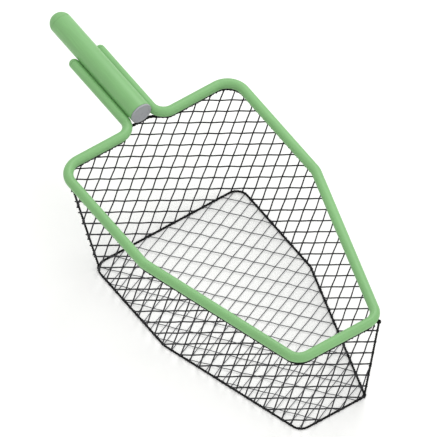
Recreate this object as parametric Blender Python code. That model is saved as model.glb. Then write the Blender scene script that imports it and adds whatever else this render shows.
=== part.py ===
"""A leaf skimmer net for a swimming pool, in metres.

A bent tube makes a six-sided hoop and turns back along both sides of a short handle stub. A bag of netting
hangs from a slot in the underside of the hoop. +Z is up and +Y is towards the stub's free end. The bag's
floor lies at Z = 0, and the origin is midway along and across the whole net.

Plan positions are pairs (x, y). Corners run clockwise seen from above, from the left rear one.
"""

import math

import bmesh
import bpy
from mathutils import Matrix, Vector
from mathutils.geometry import delaunay_2d_cdt

# Hoop, measured between tube centrelines
HOOP_WIDTH = 0.2550
HOOP_FRONT_WIDTH = 0.1180
HOOP_REAR_LENGTH = 0.1780
HOOP_TAPER_LENGTH = 0.2320
REAR_CORNER_RADIUS = 0.0250
MIDDLE_CORNER_RADIUS = 0.0250
FRONT_CORNER_RADIUS = 0.0200
FRAME_TUBE_DIAMETER = 0.0127
FRAME_TUBE_WALL = 0.0012

# Legs, the two ends of the hoop's tube that lie beside the handle
LEG_BEND_RADIUS = 0.0190
LEG_REACH = 0.1330
LEG_PLUG_LENGTH = 0.0100

# Handle stub, which slides into a pool pole; it sits a little above the legs, in the valley between them
HANDLE_DIAMETER = 0.0286
HANDLE_WALL = 0.0013
HANDLE_LENGTH = 0.1860
HANDLE_SETBACK = 0.0100
HANDLE_RAISE = 0.0080
END_PLUG_FLANGE = 0.0025
END_PLUG_DEPTH = 0.0200
END_PLUG_WALL = 0.0020
END_CAP_FLAT_RADIUS = 0.0040
END_CAP_DEPTH = 0.0080

# Weld beads between legs and handle
WELD_RADIUS = 0.0022
WELD_LENGTH = 0.0200
WELD_INSET = 0.0060

# Snap button and its spring
BUTTON_FROM_END = 0.0380
BUTTON_RADIUS = 0.0034
BUTTON_SIDE_CLEARANCE = 0.00025
BUTTON_STANDS_OUT = 0.0060
BUTTON_COLLAR_RADIUS = 0.0046
BUTTON_COLLAR_HEIGHT = 0.0012
BUTTON_ROUNDING = 0.0016
SPRING_THICKNESS = 0.0008
SPRING_WIDTH = 0.0090
SPRING_REACH = 0.0450
SPRING_TAIL = 0.0070
SPRING_BEND_RADIUS = 0.0030

# Bag
BAG_DEPTH = 0.1570
FLOOR_REAR_INSET = 0.0435
FLOOR_SIDE_INSET = 0.0192
FLOOR_TAPER_INSET = 0.0137
FLOOR_FRONT_INSET = 0.0110
FLOOR_REAR_CORNER_RADIUS = 0.0160
FLOOR_MIDDLE_CORNER_RADIUS = 0.0080
FLOOR_RIGHT_FRONT_CORNER_RADIUS = 0.0060
FLOOR_LEFT_FRONT_CORNER_RADIUS = 0.0150

# Between the leg bends the bag's top edge is tucked rearward, under the stub
TUCK_DEPTH = 0.0140
TUCK_FLAT_WIDTH = 0.0200

# Edge of the bag: a bead in the hoop's slot, its flap, and the ropes
BEAD_RADIUS = 0.0020
BEAD_END_INSET = 0.0020
FLAP_THICKNESS = 0.0012
FLAP_BELOW_TUBE = 0.0020
HEAD_ROPE_DIAMETER = 0.0040
FLOOR_ROPE_DIAMETER = 0.0030
CORNER_ROPE_DIAMETER = 0.0030
KNOT_STANDS_OUT = 0.0060
KNOT_DIAMETER = 0.0060

# Netting
NET_THICKNESS = 0.0012
NET_STRAND = 0.0016
NET_PITCH = 0.0310
NET_HEM = 0.0024
NET_SIDE_HEM = 0.0009
SMALLEST_GAP = 0.06

# Thread directions in each net, in degrees from the way its edge runs to up (on the floor, to the left)
BACK_THREADS = (-29, 58)
RIGHT_REAR_THREADS = (43, 81)
RIGHT_FRONT_THREADS = (49, 77)
FRONT_THREADS = (38, 101)
LEFT_FRONT_THREADS = (139, 105)
LEFT_REAR_THREADS = (131, 111)
FLOOR_THREADS = (38, 114)

# Between pieces that touch
CLEARANCE = 0.0003

# Smoothness of round shapes
ARC_STEP = math.radians(12)
FRAME_SIDES = 12
HANDLE_SIDES = 32
SMALL_SIDES = 16
ROPE_SIDES = 8
NET_BEND_STEP = 0.0100
TUCK_STEP = 0.0040
SHARP_ANGLE = math.radians(35)
WHOLE_STEP_SLACK = 0.001
MERGE_DISTANCE = 1e-6

# Worked out from the sizes above
FRAME_RADIUS = FRAME_TUBE_DIAMETER / 2
FRAME_BORE = FRAME_RADIUS - FRAME_TUBE_WALL
HANDLE_RADIUS = HANDLE_DIAMETER / 2
HANDLE_BORE = HANDLE_RADIUS - HANDLE_WALL
HOOP_LENGTH = HOOP_REAR_LENGTH + HOOP_TAPER_LENGTH
FRONT_REACH = HOOP_LENGTH + FRAME_RADIUS
HANDLE_REACH = HANDLE_SETBACK + HANDLE_LENGTH
REAR_Y = (FRONT_REACH - HANDLE_REACH) / 2
FRONT_Y = REAR_Y - HOOP_LENGTH
HANDLE_END_Y = REAR_Y + HANDLE_REACH
HANDLE_START_Y = REAR_Y + HANDLE_SETBACK + END_PLUG_FLANGE + CLEARANCE
END_CAP_HEIGHT = math.sqrt(HANDLE_RADIUS**2 - END_CAP_FLAT_RADIUS**2)
END_CAP_Y = HANDLE_END_Y - END_CAP_HEIGHT
LEG_TO_HANDLE = HANDLE_RADIUS + FRAME_RADIUS + CLEARANCE
LEG_X = math.sqrt(LEG_TO_HANDLE**2 - HANDLE_RAISE**2)
LEG_END_Y = REAR_Y + LEG_REACH - FRAME_RADIUS - CLEARANCE
GAP_HALF_WIDTH = LEG_X + LEG_BEND_RADIUS
BUTTON_Y = HANDLE_END_Y - BUTTON_FROM_END
FRAME_Z = BAG_DEPTH
HANDLE_Z = FRAME_Z + HANDLE_RAISE
HEAD_ROPE_RADIUS = HEAD_ROPE_DIAMETER / 2
FLOOR_ROPE_RADIUS = FLOOR_ROPE_DIAMETER / 2
CORNER_ROPE_RADIUS = CORNER_ROPE_DIAMETER / 2
KNOT_RADIUS = KNOT_DIAMETER / 2
FLAP_FOOT_Z = FRAME_Z - FRAME_RADIUS - FLAP_BELOW_TUBE
HEAD_ROPE_Z = FLAP_FOOT_Z - CLEARANCE - HEAD_ROPE_RADIUS
FLOOR_ROPE_Z = FLOOR_ROPE_RADIUS
NET_TOP_Z = HEAD_ROPE_Z - HEAD_ROPE_RADIUS - CLEARANCE
NET_FOOT_Z = FLOOR_ROPE_Z + FLOOR_ROPE_RADIUS + CLEARANCE
SLOT_WIDTH = FLAP_THICKNESS + 2 * CLEARANCE

CORNER_RADII = (
    REAR_CORNER_RADIUS,
    REAR_CORNER_RADIUS,
    MIDDLE_CORNER_RADIUS,
    FRONT_CORNER_RADIUS,
    FRONT_CORNER_RADIUS,
    MIDDLE_CORNER_RADIUS,
)
FLOOR_CORNER_RADII = (
    FLOOR_REAR_CORNER_RADIUS,
    FLOOR_REAR_CORNER_RADIUS,
    FLOOR_MIDDLE_CORNER_RADIUS,
    FLOOR_RIGHT_FRONT_CORNER_RADIUS,
    FLOOR_LEFT_FRONT_CORNER_RADIUS,
    FLOOR_MIDDLE_CORNER_RADIUS,
)
LEFT_REAR, RIGHT_REAR, RIGHT_MIDDLE, RIGHT_FRONT, LEFT_FRONT, LEFT_MIDDLE = range(6)
ROPED_CORNERS = (LEFT_REAR, RIGHT_FRONT)
KNOTTED_CORNER = RIGHT_FRONT


def clear_scene():
    for old in list(bpy.data.objects):
        bpy.data.objects.remove(old, do_unlink=True)


# Plan geometry


def hoop_corners():
    """The six corners of the hoop's centreline."""
    half, front_half = HOOP_WIDTH / 2, HOOP_FRONT_WIDTH / 2
    middle_y = REAR_Y - HOOP_REAR_LENGTH
    right = [(half, REAR_Y), (half, middle_y), (front_half, FRONT_Y)]
    left = [(-x, y) for x, y in right[:0:-1]]
    return [Vector(p) for p in [(-half, REAR_Y)] + right + left]


def inward(direction):
    """The side on which the bag lies of an edge that runs this way."""
    return Vector((direction.y, -direction.x))


def inset_polygon(corners, insets):
    """The polygon whose edges lie inside this one's, each by its own inset; an edge starts at its corner."""
    lines = []
    for i, corner in enumerate(corners):
        along = (corners[(i + 1) % len(corners)] - corner).normalized()
        lines.append((corner + insets[i] * inward(along), along))
    found = []
    for i, (point, along) in enumerate(lines):
        before, before_along = lines[i - 1]
        reach = (point - before).dot(inward(along)) / before_along.dot(inward(along))
        found.append(before + reach * before_along)
    return found


def floor_corners():
    insets = (
        FLOOR_REAR_INSET,
        FLOOR_SIDE_INSET,
        FLOOR_TAPER_INSET,
        FLOOR_FRONT_INSET,
        FLOOR_TAPER_INSET,
        FLOOR_SIDE_INSET,
    )
    return inset_polygon(hoop_corners(), insets)


def rounded(corners, radii, closed=True):
    """The points of a line that turns each corner on an arc of its radius."""
    points = []
    for i, (corner, radius) in enumerate(zip(corners, radii)):
        if not closed and i in (0, len(corners) - 1):
            points.append(corner.copy())
            continue
        arriving = (corner - corners[i - 1]).normalized()
        leaving = (corners[(i + 1) % len(corners)] - corner).normalized()
        turn = arriving.angle_signed(leaving)
        toward = inward(arriving) * math.copysign(1, turn)
        tangent = radius * math.tan(abs(turn) / 2)
        centre = corner - tangent * arriving + radius * toward
        steps = max(1, math.ceil(abs(turn) / ARC_STEP - WHOLE_STEP_SLACK))
        for n in range(steps + 1):
            a = abs(turn) * n / steps
            points.append(centre + radius * (math.sin(a) * arriving - math.cos(a) * toward))
    return points


def tuck(x):
    """How far behind the hoop's rear rail the bag's top edge lies; it eases in beside the stub."""
    flat = TUCK_FLAT_WIDTH / 2
    share = (abs(x) - flat) / (GAP_HALF_WIDTH - flat)
    return TUCK_DEPTH * (1 + math.cos(math.pi * min(max(share, 0), 1))) / 2


def mouth_line():
    """The bag's top edge: the hoop's centreline, tucked in under the stub."""
    corners = hoop_corners()
    line = rounded(corners[1:] + corners[:1], CORNER_RADII[1:] + CORNER_RADII[:1])
    steps = math.ceil(2 * GAP_HALF_WIDTH / TUCK_STEP)
    for n in range(steps + 1):
        x = GAP_HALF_WIDTH * (2 * n / steps - 1)
        line.append(Vector((x, REAR_Y + tuck(x))))
    return line


# Mesh helpers


def make_object(name, shape, material, round_piece=True):
    """Turns a bmesh into a named object with its own material."""
    bmesh.ops.recalc_face_normals(shape, faces=shape.faces)
    mesh = bpy.data.meshes.new(name)
    shape.to_mesh(mesh)
    shape.free()
    if round_piece:
        mesh.shade_smooth()
        mesh.set_sharp_from_angle(angle=SHARP_ANGLE)
    mesh.materials.append(material)
    made = bpy.data.objects.new(name, mesh)
    bpy.context.scene.collection.objects.link(made)
    return made


def sweep(section, path, z, closed):
    """Carries a section of (side, up) points along a plan line at height z."""
    shape = bmesh.new()
    rings = []
    for i, point in enumerate(path):
        before = path[i - 1] if closed or i > 0 else None
        after = path[(i + 1) % len(path)] if closed or i < len(path) - 1 else None
        arriving = (point - before).normalized() if before is not None else None
        leaving = (after - point).normalized() if after is not None else arriving
        arriving = arriving if arriving is not None else leaving
        middle = (arriving + leaving).normalized()
        side = inward(middle) / middle.dot(arriving)
        rings.append([shape.verts.new((*(point + s * side), z + up)) for s, up in section])
    pairs = list(zip(rings, rings[1:])) + ([(rings[-1], rings[0])] if closed else [])
    for ring, following in pairs:
        for k in range(len(section)):
            n = (k + 1) % len(section)
            shape.faces.new((ring[k], ring[n], following[n], following[k]))
    if not closed:
        shape.faces.new(rings[0])
        shape.faces.new(rings[-1])
    return shape


def turned(profile, sides, closed=False):
    """Turns a profile of (radius, distance) points round the Z axis; a closed one leaves a bore."""
    shape = bmesh.new()
    points = [shape.verts.new((radius, 0, along)) for radius, along in profile]
    edges = [shape.edges.new(pair) for pair in zip(points, points[1:])]
    if closed:
        edges.append(shape.edges.new((points[-1], points[0])))
    bmesh.ops.spin(
        shape,
        geom=points + edges,
        axis=(0, 0, 1),
        cent=(0, 0, 0),
        angle=2 * math.pi,
        steps=sides,
        use_merge=True,
    )
    bmesh.ops.remove_doubles(shape, verts=shape.verts, dist=MERGE_DISTANCE)
    return shape


def stand_along(made, direction, place):
    """Points an object's own Z axis along a direction, at a place."""
    made.rotation_mode = "QUATERNION"
    made.rotation_quaternion = Vector(direction).to_track_quat("Z", "Y")
    made.location = place
    return made


def ring_section(radius, sides):
    """A round section with a flat side down."""
    angles = [2 * math.pi * (n + 0.5) / sides for n in range(sides)]
    reach = radius / math.cos(math.pi / sides)
    return [(reach * math.sin(a), -reach * math.cos(a)) for a in angles]


# Frame


def slotted_section():
    """The hoop tube's section: a ring with a slot along its foot."""
    section = []
    for radius, order in ((FRAME_RADIUS, 1), (FRAME_BORE, -1)):
        edge = math.asin(SLOT_WIDTH / 2 / radius)
        sweep_angle = 2 * math.pi - 2 * edge
        angles = [edge + sweep_angle * n / FRAME_SIDES for n in range(FRAME_SIDES + 1)]
        section += [(radius * math.sin(a), -radius * math.cos(a)) for a in angles[::order]]
    return section


def frame_hoop(material):
    """One tube: up the left leg, round the hoop and back down the right leg."""
    corners = hoop_corners()
    right_leg = [Vector((LEG_X, REAR_Y)), Vector((LEG_X, LEG_END_Y))]
    left_leg = [Vector((-p.x, p.y)) for p in right_leg]
    route = right_leg[::-1] + corners[1:] + corners[:1] + left_leg
    radii = (0, LEG_BEND_RADIUS) + CORNER_RADII[1:] + CORNER_RADII[:1] + (LEG_BEND_RADIUS, 0)
    shape = sweep(slotted_section(), rounded(route, radii, closed=False), FRAME_Z, closed=False)
    return make_object("frame_hoop", shape, material)


def leg_cap(name, side, material):
    """A domed cap whose plug fills the end of a leg."""
    steps = 5
    dome = []
    for n in range(steps + 1):
        a = math.pi / 2 * n / steps
        dome.append((FRAME_RADIUS * math.sin(a), FRAME_RADIUS * math.cos(a)))
    plug = FRAME_BORE - CLEARANCE
    profile = dome + [(plug, 0), (plug, -LEG_PLUG_LENGTH), (0, -LEG_PLUG_LENGTH)]
    made = make_object(name, turned(profile, SMALL_SIDES), material)
    return stand_along(made, (0, 1, 0), (side * LEG_X, LEG_END_Y + CLEARANCE, FRAME_Z))


def handle_tube(material):
    """The stub, with the snap button's hole in its underside."""
    length = END_CAP_Y - CLEARANCE - HANDLE_START_Y
    profile = [(HANDLE_RADIUS, length), (HANDLE_RADIUS, 0), (HANDLE_BORE, 0), (HANDLE_BORE, length)]
    made = make_object("handle_tube", turned(profile, HANDLE_SIDES, closed=True), material)
    stand_along(made, (0, 1, 0), (0, HANDLE_START_Y, HANDLE_Z))
    hole = BUTTON_RADIUS + BUTTON_SIDE_CLEARANCE
    cutter_profile = [(0, 0), (hole, 0), (hole, HANDLE_RADIUS), (0, HANDLE_RADIUS)]
    cutter = make_object("button_hole_cutter", turned(cutter_profile, SMALL_SIDES), material)
    stand_along(cutter, (0, 0, -1), (0, BUTTON_Y, HANDLE_Z - HANDLE_BORE / 2))
    cutter.hide_render = True
    cutter.display_type = "WIRE"
    cut = made.modifiers.new("button hole", "BOOLEAN")
    cut.object = cutter
    cut.operation = "DIFFERENCE"
    cut.solver = "EXACT"
    return made


def handle_front_plug(material):
    """The grey end of the stub: a flange as wide as the tube and a cup that fills it."""
    cup = HANDLE_BORE - CLEARANCE
    inside = cup - END_PLUG_WALL
    flange_back = -END_PLUG_FLANGE
    profile = [
        (0, 0),
        (HANDLE_RADIUS, 0),
        (HANDLE_RADIUS, flange_back),
        (cup, flange_back),
        (cup, flange_back - END_PLUG_DEPTH),
        (inside, flange_back - END_PLUG_DEPTH),
        (inside, flange_back),
        (0, flange_back),
    ]
    made = make_object("handle_front_plug", turned(profile, HANDLE_SIDES), material)
    return stand_along(made, (0, -1, 0), (0, REAR_Y + HANDLE_SETBACK, HANDLE_Z))


def handle_end_cap(material):
    """The stub's free end: a hollow dome with a small flat tip, and a sleeve that fills the tube."""
    sleeve = HANDLE_BORE - CLEARANCE
    inside = sleeve - END_PLUG_WALL
    tip = math.asin(END_CAP_FLAT_RADIUS / HANDLE_RADIUS)
    steps = 6
    dome, hollow = [], []
    for n in range(steps + 1):
        a = tip + (math.pi / 2 - tip) * n / steps
        dome.append((HANDLE_RADIUS * math.sin(a), HANDLE_RADIUS * math.cos(a)))
        a = math.pi / 2 * (1 - n / steps)
        hollow.append((inside * math.sin(a), inside * math.cos(a)))
    plug = [(sleeve, 0), (sleeve, -END_CAP_DEPTH), (inside, -END_CAP_DEPTH)]
    profile = [(0, END_CAP_HEIGHT)] + dome + plug + hollow
    made = make_object("handle_end_cap", turned(profile, HANDLE_SIDES), material)
    return stand_along(made, (0, 1, 0), (0, END_CAP_Y, HANDLE_Z))


def weld_beads(material):
    """Three short weld beads under each side, in the valley between leg and handle."""
    to_handle = HANDLE_RADIUS + WELD_RADIUS + CLEARANCE
    to_leg = FRAME_RADIUS + WELD_RADIUS + CLEARANCE
    toward_leg = Vector((LEG_X, -HANDLE_RAISE)) / LEG_TO_HANDLE
    along = (to_handle**2 - to_leg**2 + LEG_TO_HANDLE**2) / (2 * LEG_TO_HANDLE)
    aside = math.sqrt(to_handle**2 - along**2)
    x, drop = along * toward_leg + aside * Vector((toward_leg.y, -toward_leg.x))
    z = HANDLE_Z + drop
    straight = WELD_LENGTH - 2 * WELD_RADIUS
    steps = 3
    end = []
    for n in range(steps + 1):
        a = math.pi / 2 * n / steps
        end.append((WELD_RADIUS * math.sin(a), straight / 2 + WELD_RADIUS * math.cos(a)))
    profile = end + [(radius, -along) for radius, along in end[::-1]]
    first = REAR_Y + LEG_BEND_RADIUS + WELD_INSET + WELD_LENGTH / 2
    last = LEG_END_Y - WELD_INSET - WELD_LENGTH / 2
    places = {"front": first, "middle": (first + last) / 2, "rear": last}
    for side_name, side in (("left", -1), ("right", 1)):
        for place_name, y in places.items():
            name = f"weld_{side_name}_{place_name}"
            bead = make_object(name, turned(profile, ROPE_SIDES), material)
            stand_along(bead, (0, 1, 0), (side * x, y, z))


# Snap button


def collar_foot():
    """How far above the bore's lowest line the button's collar rests, clear of the round wall."""
    rise = HANDLE_BORE - math.sqrt(HANDLE_BORE**2 - BUTTON_COLLAR_RADIUS**2)
    return rise + CLEARANCE


def snap_button(material):
    """A round-nosed pin with a collar inside the stub; its own Z axis is the way it is pushed in."""
    shoulder = HANDLE_WALL + collar_foot()
    nose = -(BUTTON_STANDS_OUT - BUTTON_ROUNDING)
    steps = 4
    tip = []
    for n in range(steps + 1):
        a = math.pi / 2 * n / steps
        radius = BUTTON_RADIUS - BUTTON_ROUNDING * (1 - math.cos(a))
        tip.append((radius, nose - BUTTON_ROUNDING * math.sin(a)))
    profile = [
        (0, shoulder + BUTTON_COLLAR_HEIGHT),
        (BUTTON_COLLAR_RADIUS, shoulder + BUTTON_COLLAR_HEIGHT),
        (BUTTON_COLLAR_RADIUS, shoulder),
        (BUTTON_RADIUS, shoulder),
    ]
    profile += tip + [(0, -BUTTON_STANDS_OUT)]
    made = make_object("snap_button", turned(profile, SMALL_SIDES), material)
    made.location = (0, BUTTON_Y, HANDLE_Z - HANDLE_RADIUS)
    return made


def snap_spring(material):
    """A bent strip: its lower arm lies on the button's collar, its upper arm springs against the bore."""
    half = SPRING_THICKNESS / 2
    lower = collar_foot() + BUTTON_COLLAR_HEIGHT + CLEARANCE + half - HANDLE_BORE
    wall_height = math.sqrt(HANDLE_BORE**2 - (SPRING_WIDTH / 2) ** 2)
    upper = wall_height - CLEARANCE - SPRING_THICKNESS
    tail_y = BUTTON_Y + SPRING_TAIL
    bend_y = BUTTON_Y - SPRING_REACH
    route = [Vector((tail_y, lower)), Vector((bend_y, lower)), Vector((tail_y, upper))]
    line = rounded(route, (0, SPRING_BEND_RADIUS, 0), closed=False)
    shape = sweep([(-half, -1), (half, -1), (half, 1), (-half, 1)], line, 0, closed=False)
    for vertex in shape.verts:
        y, z, across = vertex.co
        vertex.co = (across * SPRING_WIDTH / 2, y, HANDLE_Z + z)
    return make_object("snap_spring", shape, material, round_piece=False)


# Ropes and bead


def net_bead(material):
    """The bead that fills the foot of the slot, with the flap that hangs out of it."""
    centre = -(FRAME_BORE - CLEARANCE - BEAD_RADIUS)
    half = FLAP_THICKNESS / 2
    edge = math.asin(half / BEAD_RADIUS)
    steps = ROPE_SIDES
    section = [(-half, FLAP_FOOT_Z - FRAME_Z), (half, FLAP_FOOT_Z - FRAME_Z)]
    for n in range(steps + 1):
        a = edge + (2 * math.pi - 2 * edge) * n / steps
        section.append((BEAD_RADIUS * math.sin(a), centre - BEAD_RADIUS * math.cos(a)))
    corners = hoop_corners()
    end = Vector((GAP_HALF_WIDTH + BEAD_END_INSET, REAR_Y))
    route = [end] + corners[1:] + corners[:1] + [Vector((-end.x, end.y))]
    radii = (0,) + CORNER_RADII[1:] + CORNER_RADII[:1] + (0,)
    shape = sweep(section, rounded(route, radii, closed=False), FRAME_Z, closed=False)
    return make_object("net_bead", shape, material)


def edge_rope(name, line, rope_radius, z, material):
    """A closed rope, flat underneath, round an edge of the bag."""
    flat = rope_radius * math.cos(math.pi / ROPE_SIDES)
    section = ring_section(flat, ROPE_SIDES)
    shape = sweep(section, line, z - rope_radius + flat, closed=True)
    return make_object(name, shape, material)


def corner_line(corner, level):
    """The middle of a rounded corner of the bag at a level: 0 at the head rope, 1 at the floor rope."""
    top, foot = hoop_corners(), floor_corners()
    now = [a.lerp(b, level) for a, b in zip(top, foot)]
    radius = CORNER_RADII[corner] + level * (FLOOR_CORNER_RADII[corner] - CORNER_RADII[corner])
    arriving = (now[corner] - now[corner - 1]).normalized()
    leaving = (now[(corner + 1) % len(now)] - now[corner]).normalized()
    half_turn = arriving.angle(leaving) / 2
    out = (arriving - leaving).normalized()
    plan = now[corner] - out * radius * (1 / math.cos(half_turn) - 1)
    z = HEAD_ROPE_Z + level * (FLOOR_ROPE_Z - HEAD_ROPE_Z)
    return Vector((*plan, z)), Vector((*out, 0))


def level_at(z):
    return (HEAD_ROPE_Z - z) / (HEAD_ROPE_Z - FLOOR_ROPE_Z)


def corner_rope(name, corner, material):
    """A rope up a seam of the bag: it meets the head rope's underside, or passes outside it to a knot."""
    foot, _ = corner_line(corner, 1)
    if corner == KNOTTED_CORNER:
        top = knot_place()
        along = (foot - top).normalized()
        start = top + along * (KNOT_RADIUS + CLEARANCE)
    else:
        top, _ = corner_line(corner, 0)
        along = (foot - top).normalized()
        start = top + along * rope_end_gap(HEAD_ROPE_RADIUS, along)
    end = foot - along * rope_end_gap(FLOOR_ROPE_RADIUS, along)
    length = (end - start).length
    profile = [(0, 0), (CORNER_ROPE_RADIUS, 0), (CORNER_ROPE_RADIUS, length), (0, length)]
    rope = make_object(name, turned(profile, ROPE_SIDES), material)
    return stand_along(rope, along, start)


def rope_end_gap(crossed_radius, along):
    """How far from a level rope's centre a leaning corner rope ends, clear of it."""
    lean = CORNER_ROPE_RADIUS * math.hypot(along.x, along.y)
    return (crossed_radius + CLEARANCE + lean) / -along.z


def knot_place():
    """The middle of the knot, outside the head rope and against the hoop's tube."""
    top, out = corner_line(KNOTTED_CORNER, 0)
    place = top + out * KNOT_STANDS_OUT
    place.z = FRAME_Z - math.sqrt((FRAME_RADIUS + CLEARANCE + KNOT_RADIUS) ** 2 - KNOT_STANDS_OUT**2)
    return place


def stopper_knot(name, material):
    shape = bmesh.new()
    bmesh.ops.create_icosphere(shape, subdivisions=2, radius=KNOT_RADIUS)
    made = make_object(name, shape, material)
    made.location = knot_place()
    return made


# Netting


def clipped(polygon, normal, limit):
    """The part of a convex polygon where normal . point is at most the limit."""
    kept = []
    for i, point in enumerate(polygon):
        before = polygon[i - 1]
        here, there = normal.dot(point) - limit, normal.dot(before) - limit
        if here * there < 0:
            kept.append(before.lerp(point, there / (there - here)))
        if here <= 0:
            kept.append(point)
    return kept


def area_of(polygon):
    total = 0
    for i, point in enumerate(polygon):
        total += polygon[i - 1].cross(point)
    return abs(total) / 2


def without_short_edges(polygon):
    return [p for i, p in enumerate(polygon) if (p - polygon[i - 1]).length > CLEARANCE]


def between_threads(polygon, normal, number):
    """The part of a convex polygon between one thread of a family and the next."""
    start = number * NET_PITCH + NET_STRAND / 2
    end = (number + 1) * NET_PITCH - NET_STRAND / 2
    return clipped(clipped(polygon, normal, end), -normal, -start)


def net_gaps(field, threads):
    """The gaps that two families of crossing threads leave in a convex field, one crossing at its origin."""
    normals = []
    for degrees in threads:
        a = math.radians(degrees)
        normals.append(Vector((-math.sin(a), math.cos(a))))
    full = NET_PITCH**2 / abs(normals[0].cross(normals[1]))
    spans = []
    for normal in normals:
        reach = [normal.dot(p) / NET_PITCH for p in field]
        spans.append(range(math.floor(min(reach)), math.ceil(max(reach))))
    gaps = []
    for i in spans[0]:
        strip = between_threads(field, normals[0], i)
        for j in spans[1]:
            gap = without_short_edges(between_threads(strip, normals[1], j))
            if len(gap) > 2 and area_of(gap) > SMALLEST_GAP * full:
                gaps.append(gap)
    return gaps


def net_solid(outline, gaps, place):
    """A flat or bent net: the outline less its gaps, with place(point, offset) giving each face's points."""
    points, edges, owner = [], [], []
    for loop_number, loop in enumerate([outline] + gaps):
        first = len(points)
        points += loop
        owner += [loop_number] * len(loop)
        edges += [(first + n, first + (n + 1) % len(loop)) for n in range(len(loop))]
    found = delaunay_2d_cdt(points, edges, [], 1, 1e-7)
    verts, faces, origins = found[0], found[2], found[3]
    owners = [{owner[o] for o in olds} for olds in origins]
    kept = []
    for face in faces:
        shared = set.intersection(*(owners[v] for v in face))
        if not shared - {0}:
            kept.append(face)
    sides = {}
    for face in kept:
        for a, b in zip(face, face[1:] + face[:1]):
            sides[(a, b)] = (b, a) not in sides
            if (b, a) in sides:
                sides[(b, a)] = False
    shape = bmesh.new()
    used = {v for face in kept for v in face}
    outer = {v: shape.verts.new(place(verts[v], NET_THICKNESS / 2)) for v in used}
    inner = {v: shape.verts.new(place(verts[v], -NET_THICKNESS / 2)) for v in used}
    for face in kept:
        shape.faces.new([outer[v] for v in face])
        shape.faces.new([inner[v] for v in face[::-1]])
    for (a, b), open_side in sides.items():
        if open_side:
            shape.faces.new((outer[b], outer[a], inner[a], inner[b]))
    return shape


class Wall:
    """One side of the bag, from the middle of one rounded corner to the middle of the next.

    Points in the net are (along, up): along follows the edge and then the corner's arc, and up is measured
    on the slope from the net's foot. At the knotted corner the net is drawn out to the rope, and the back
    wall's top is tucked in under the stub.
    """

    def __init__(self, corner):
        self.ends = (corner, (corner + 1) % 6)
        top, foot = hoop_corners(), floor_corners()
        self.top = [top[c] for c in self.ends]
        self.foot = [foot[c] for c in self.ends]
        self.along = (self.top[1] - self.top[0]).normalized()
        self.inward = inward(self.along)
        inset = (self.foot[0] - self.top[0]).dot(self.inward)
        self.lean = math.atan2(inset, HEAD_ROPE_Z - FLOOR_ROPE_Z)
        self.turns = [self.turn_at(top, c) for c in self.ends]
        self.height = (NET_TOP_Z - NET_FOOT_Z) / math.cos(self.lean)
        self.tucked = corner == LEFT_REAR

    @staticmethod
    def turn_at(corners, c):
        arriving = corners[c] - corners[c - 1]
        leaving = corners[(c + 1) % len(corners)] - corners[c]
        return arriving.angle(leaving)

    def radius(self, end, level):
        top, foot = CORNER_RADII[self.ends[end]], FLOOR_CORNER_RADII[self.ends[end]]
        return top + level * (foot - top)

    def level(self, up):
        return level_at(NET_FOOT_Z + up * math.cos(self.lean))

    def tangent(self, end, level):
        """Where along the edge the arc at this end begins."""
        corner = self.top[end].lerp(self.foot[end], level)
        reach = self.radius(end, level) * math.tan(self.turns[end] / 2)
        return (corner - self.foot[0]).dot(self.along) + (reach if end == 0 else -reach)

    def limit(self, end, up):
        """Where along the edge the net ends: half way round the arc, less half the joint."""
        level = self.level(up)
        arc = self.radius(end, level) * self.turns[end] / 2
        joint = CLEARANCE / 2
        if self.ends[end] in ROPED_CORNERS:
            joint = CORNER_ROPE_RADIUS + CLEARANCE
        reach = arc - joint
        return self.tangent(end, level) + (-reach if end == 0 else reach)

    def outline(self, hem, side_hem):
        """The net's outline, or the field of its gaps when there are hems."""
        low, high = hem, self.height - hem
        return [
            Vector((self.limit(0, low) + side_hem, low)),
            Vector((self.limit(1, low) - side_hem, low)),
            Vector((self.limit(1, high) - side_hem, high)),
            Vector((self.limit(0, high) + side_hem, high)),
        ]

    def place(self, point, offset):
        """Where a point of the net lies, at an offset outward from its middle surface."""
        along, up = point
        level = self.level(up)
        z = NET_FOOT_Z + up * math.cos(self.lean) - offset * math.sin(self.lean)
        offset = offset * math.cos(self.lean)
        start, end = self.tangent(0, level), self.tangent(1, level)
        depth = self.inward * (self.top[0].lerp(self.foot[0], level) - self.foot[0]).dot(self.inward)
        base = self.foot[0] + depth
        if along < start:
            which, edge, sign = 0, start, -1
        elif along > end:
            which, edge, sign = 1, end, 1
        else:
            plan = base + along * self.along - offset * self.inward
            if self.tucked:
                plan.y += tuck(plan.x) * (1 - level)
            return Vector((*plan, z))
        radius = self.radius(which, level)
        a = abs(along - edge) / radius
        centre = base + edge * self.along + radius * self.inward
        spoke = sign * math.sin(a) * self.along - math.cos(a) * self.inward
        plan = centre + (radius + offset) * spoke
        if self.ends[which] == KNOTTED_CORNER:
            half = self.turns[which] / 2
            out = sign * math.sin(half) * self.along - math.cos(half) * self.inward
            plan += out * KNOT_STANDS_OUT * (1 - level) * (a / half) ** 2
        return Vector((*plan, z))

    def divided(self, loop):
        """The loop with more points where it goes round an arc."""
        points = []
        for i, point in enumerate(loop):
            before = loop[i - 1]
            bent = any(not self.straight(p) for p in (before, point))
            count = math.ceil((point - before).length / NET_BEND_STEP) if bent else 1
            for n in range(1, count):
                between = before.lerp(point, n / count)
                if not self.straight(between):
                    points.append(between)
            points.append(point)
        return points

    def straight(self, point):
        level = self.level(point.y)
        if self.tucked and abs(self.foot[0].x + point.x) < GAP_HALF_WIDTH:
            return False
        return self.tangent(0, level) <= point.x <= self.tangent(1, level)


def wall_net(name, corner, threads, material):
    wall = Wall(corner)
    gaps = net_gaps(wall.outline(NET_HEM, NET_SIDE_HEM), threads)
    loops = [wall.divided(gap) for gap in gaps]
    shape = net_solid(wall.divided(wall.outline(0, 0)), loops, wall.place)
    return make_object(name, shape, material, round_piece=False), len(gaps)


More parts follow.
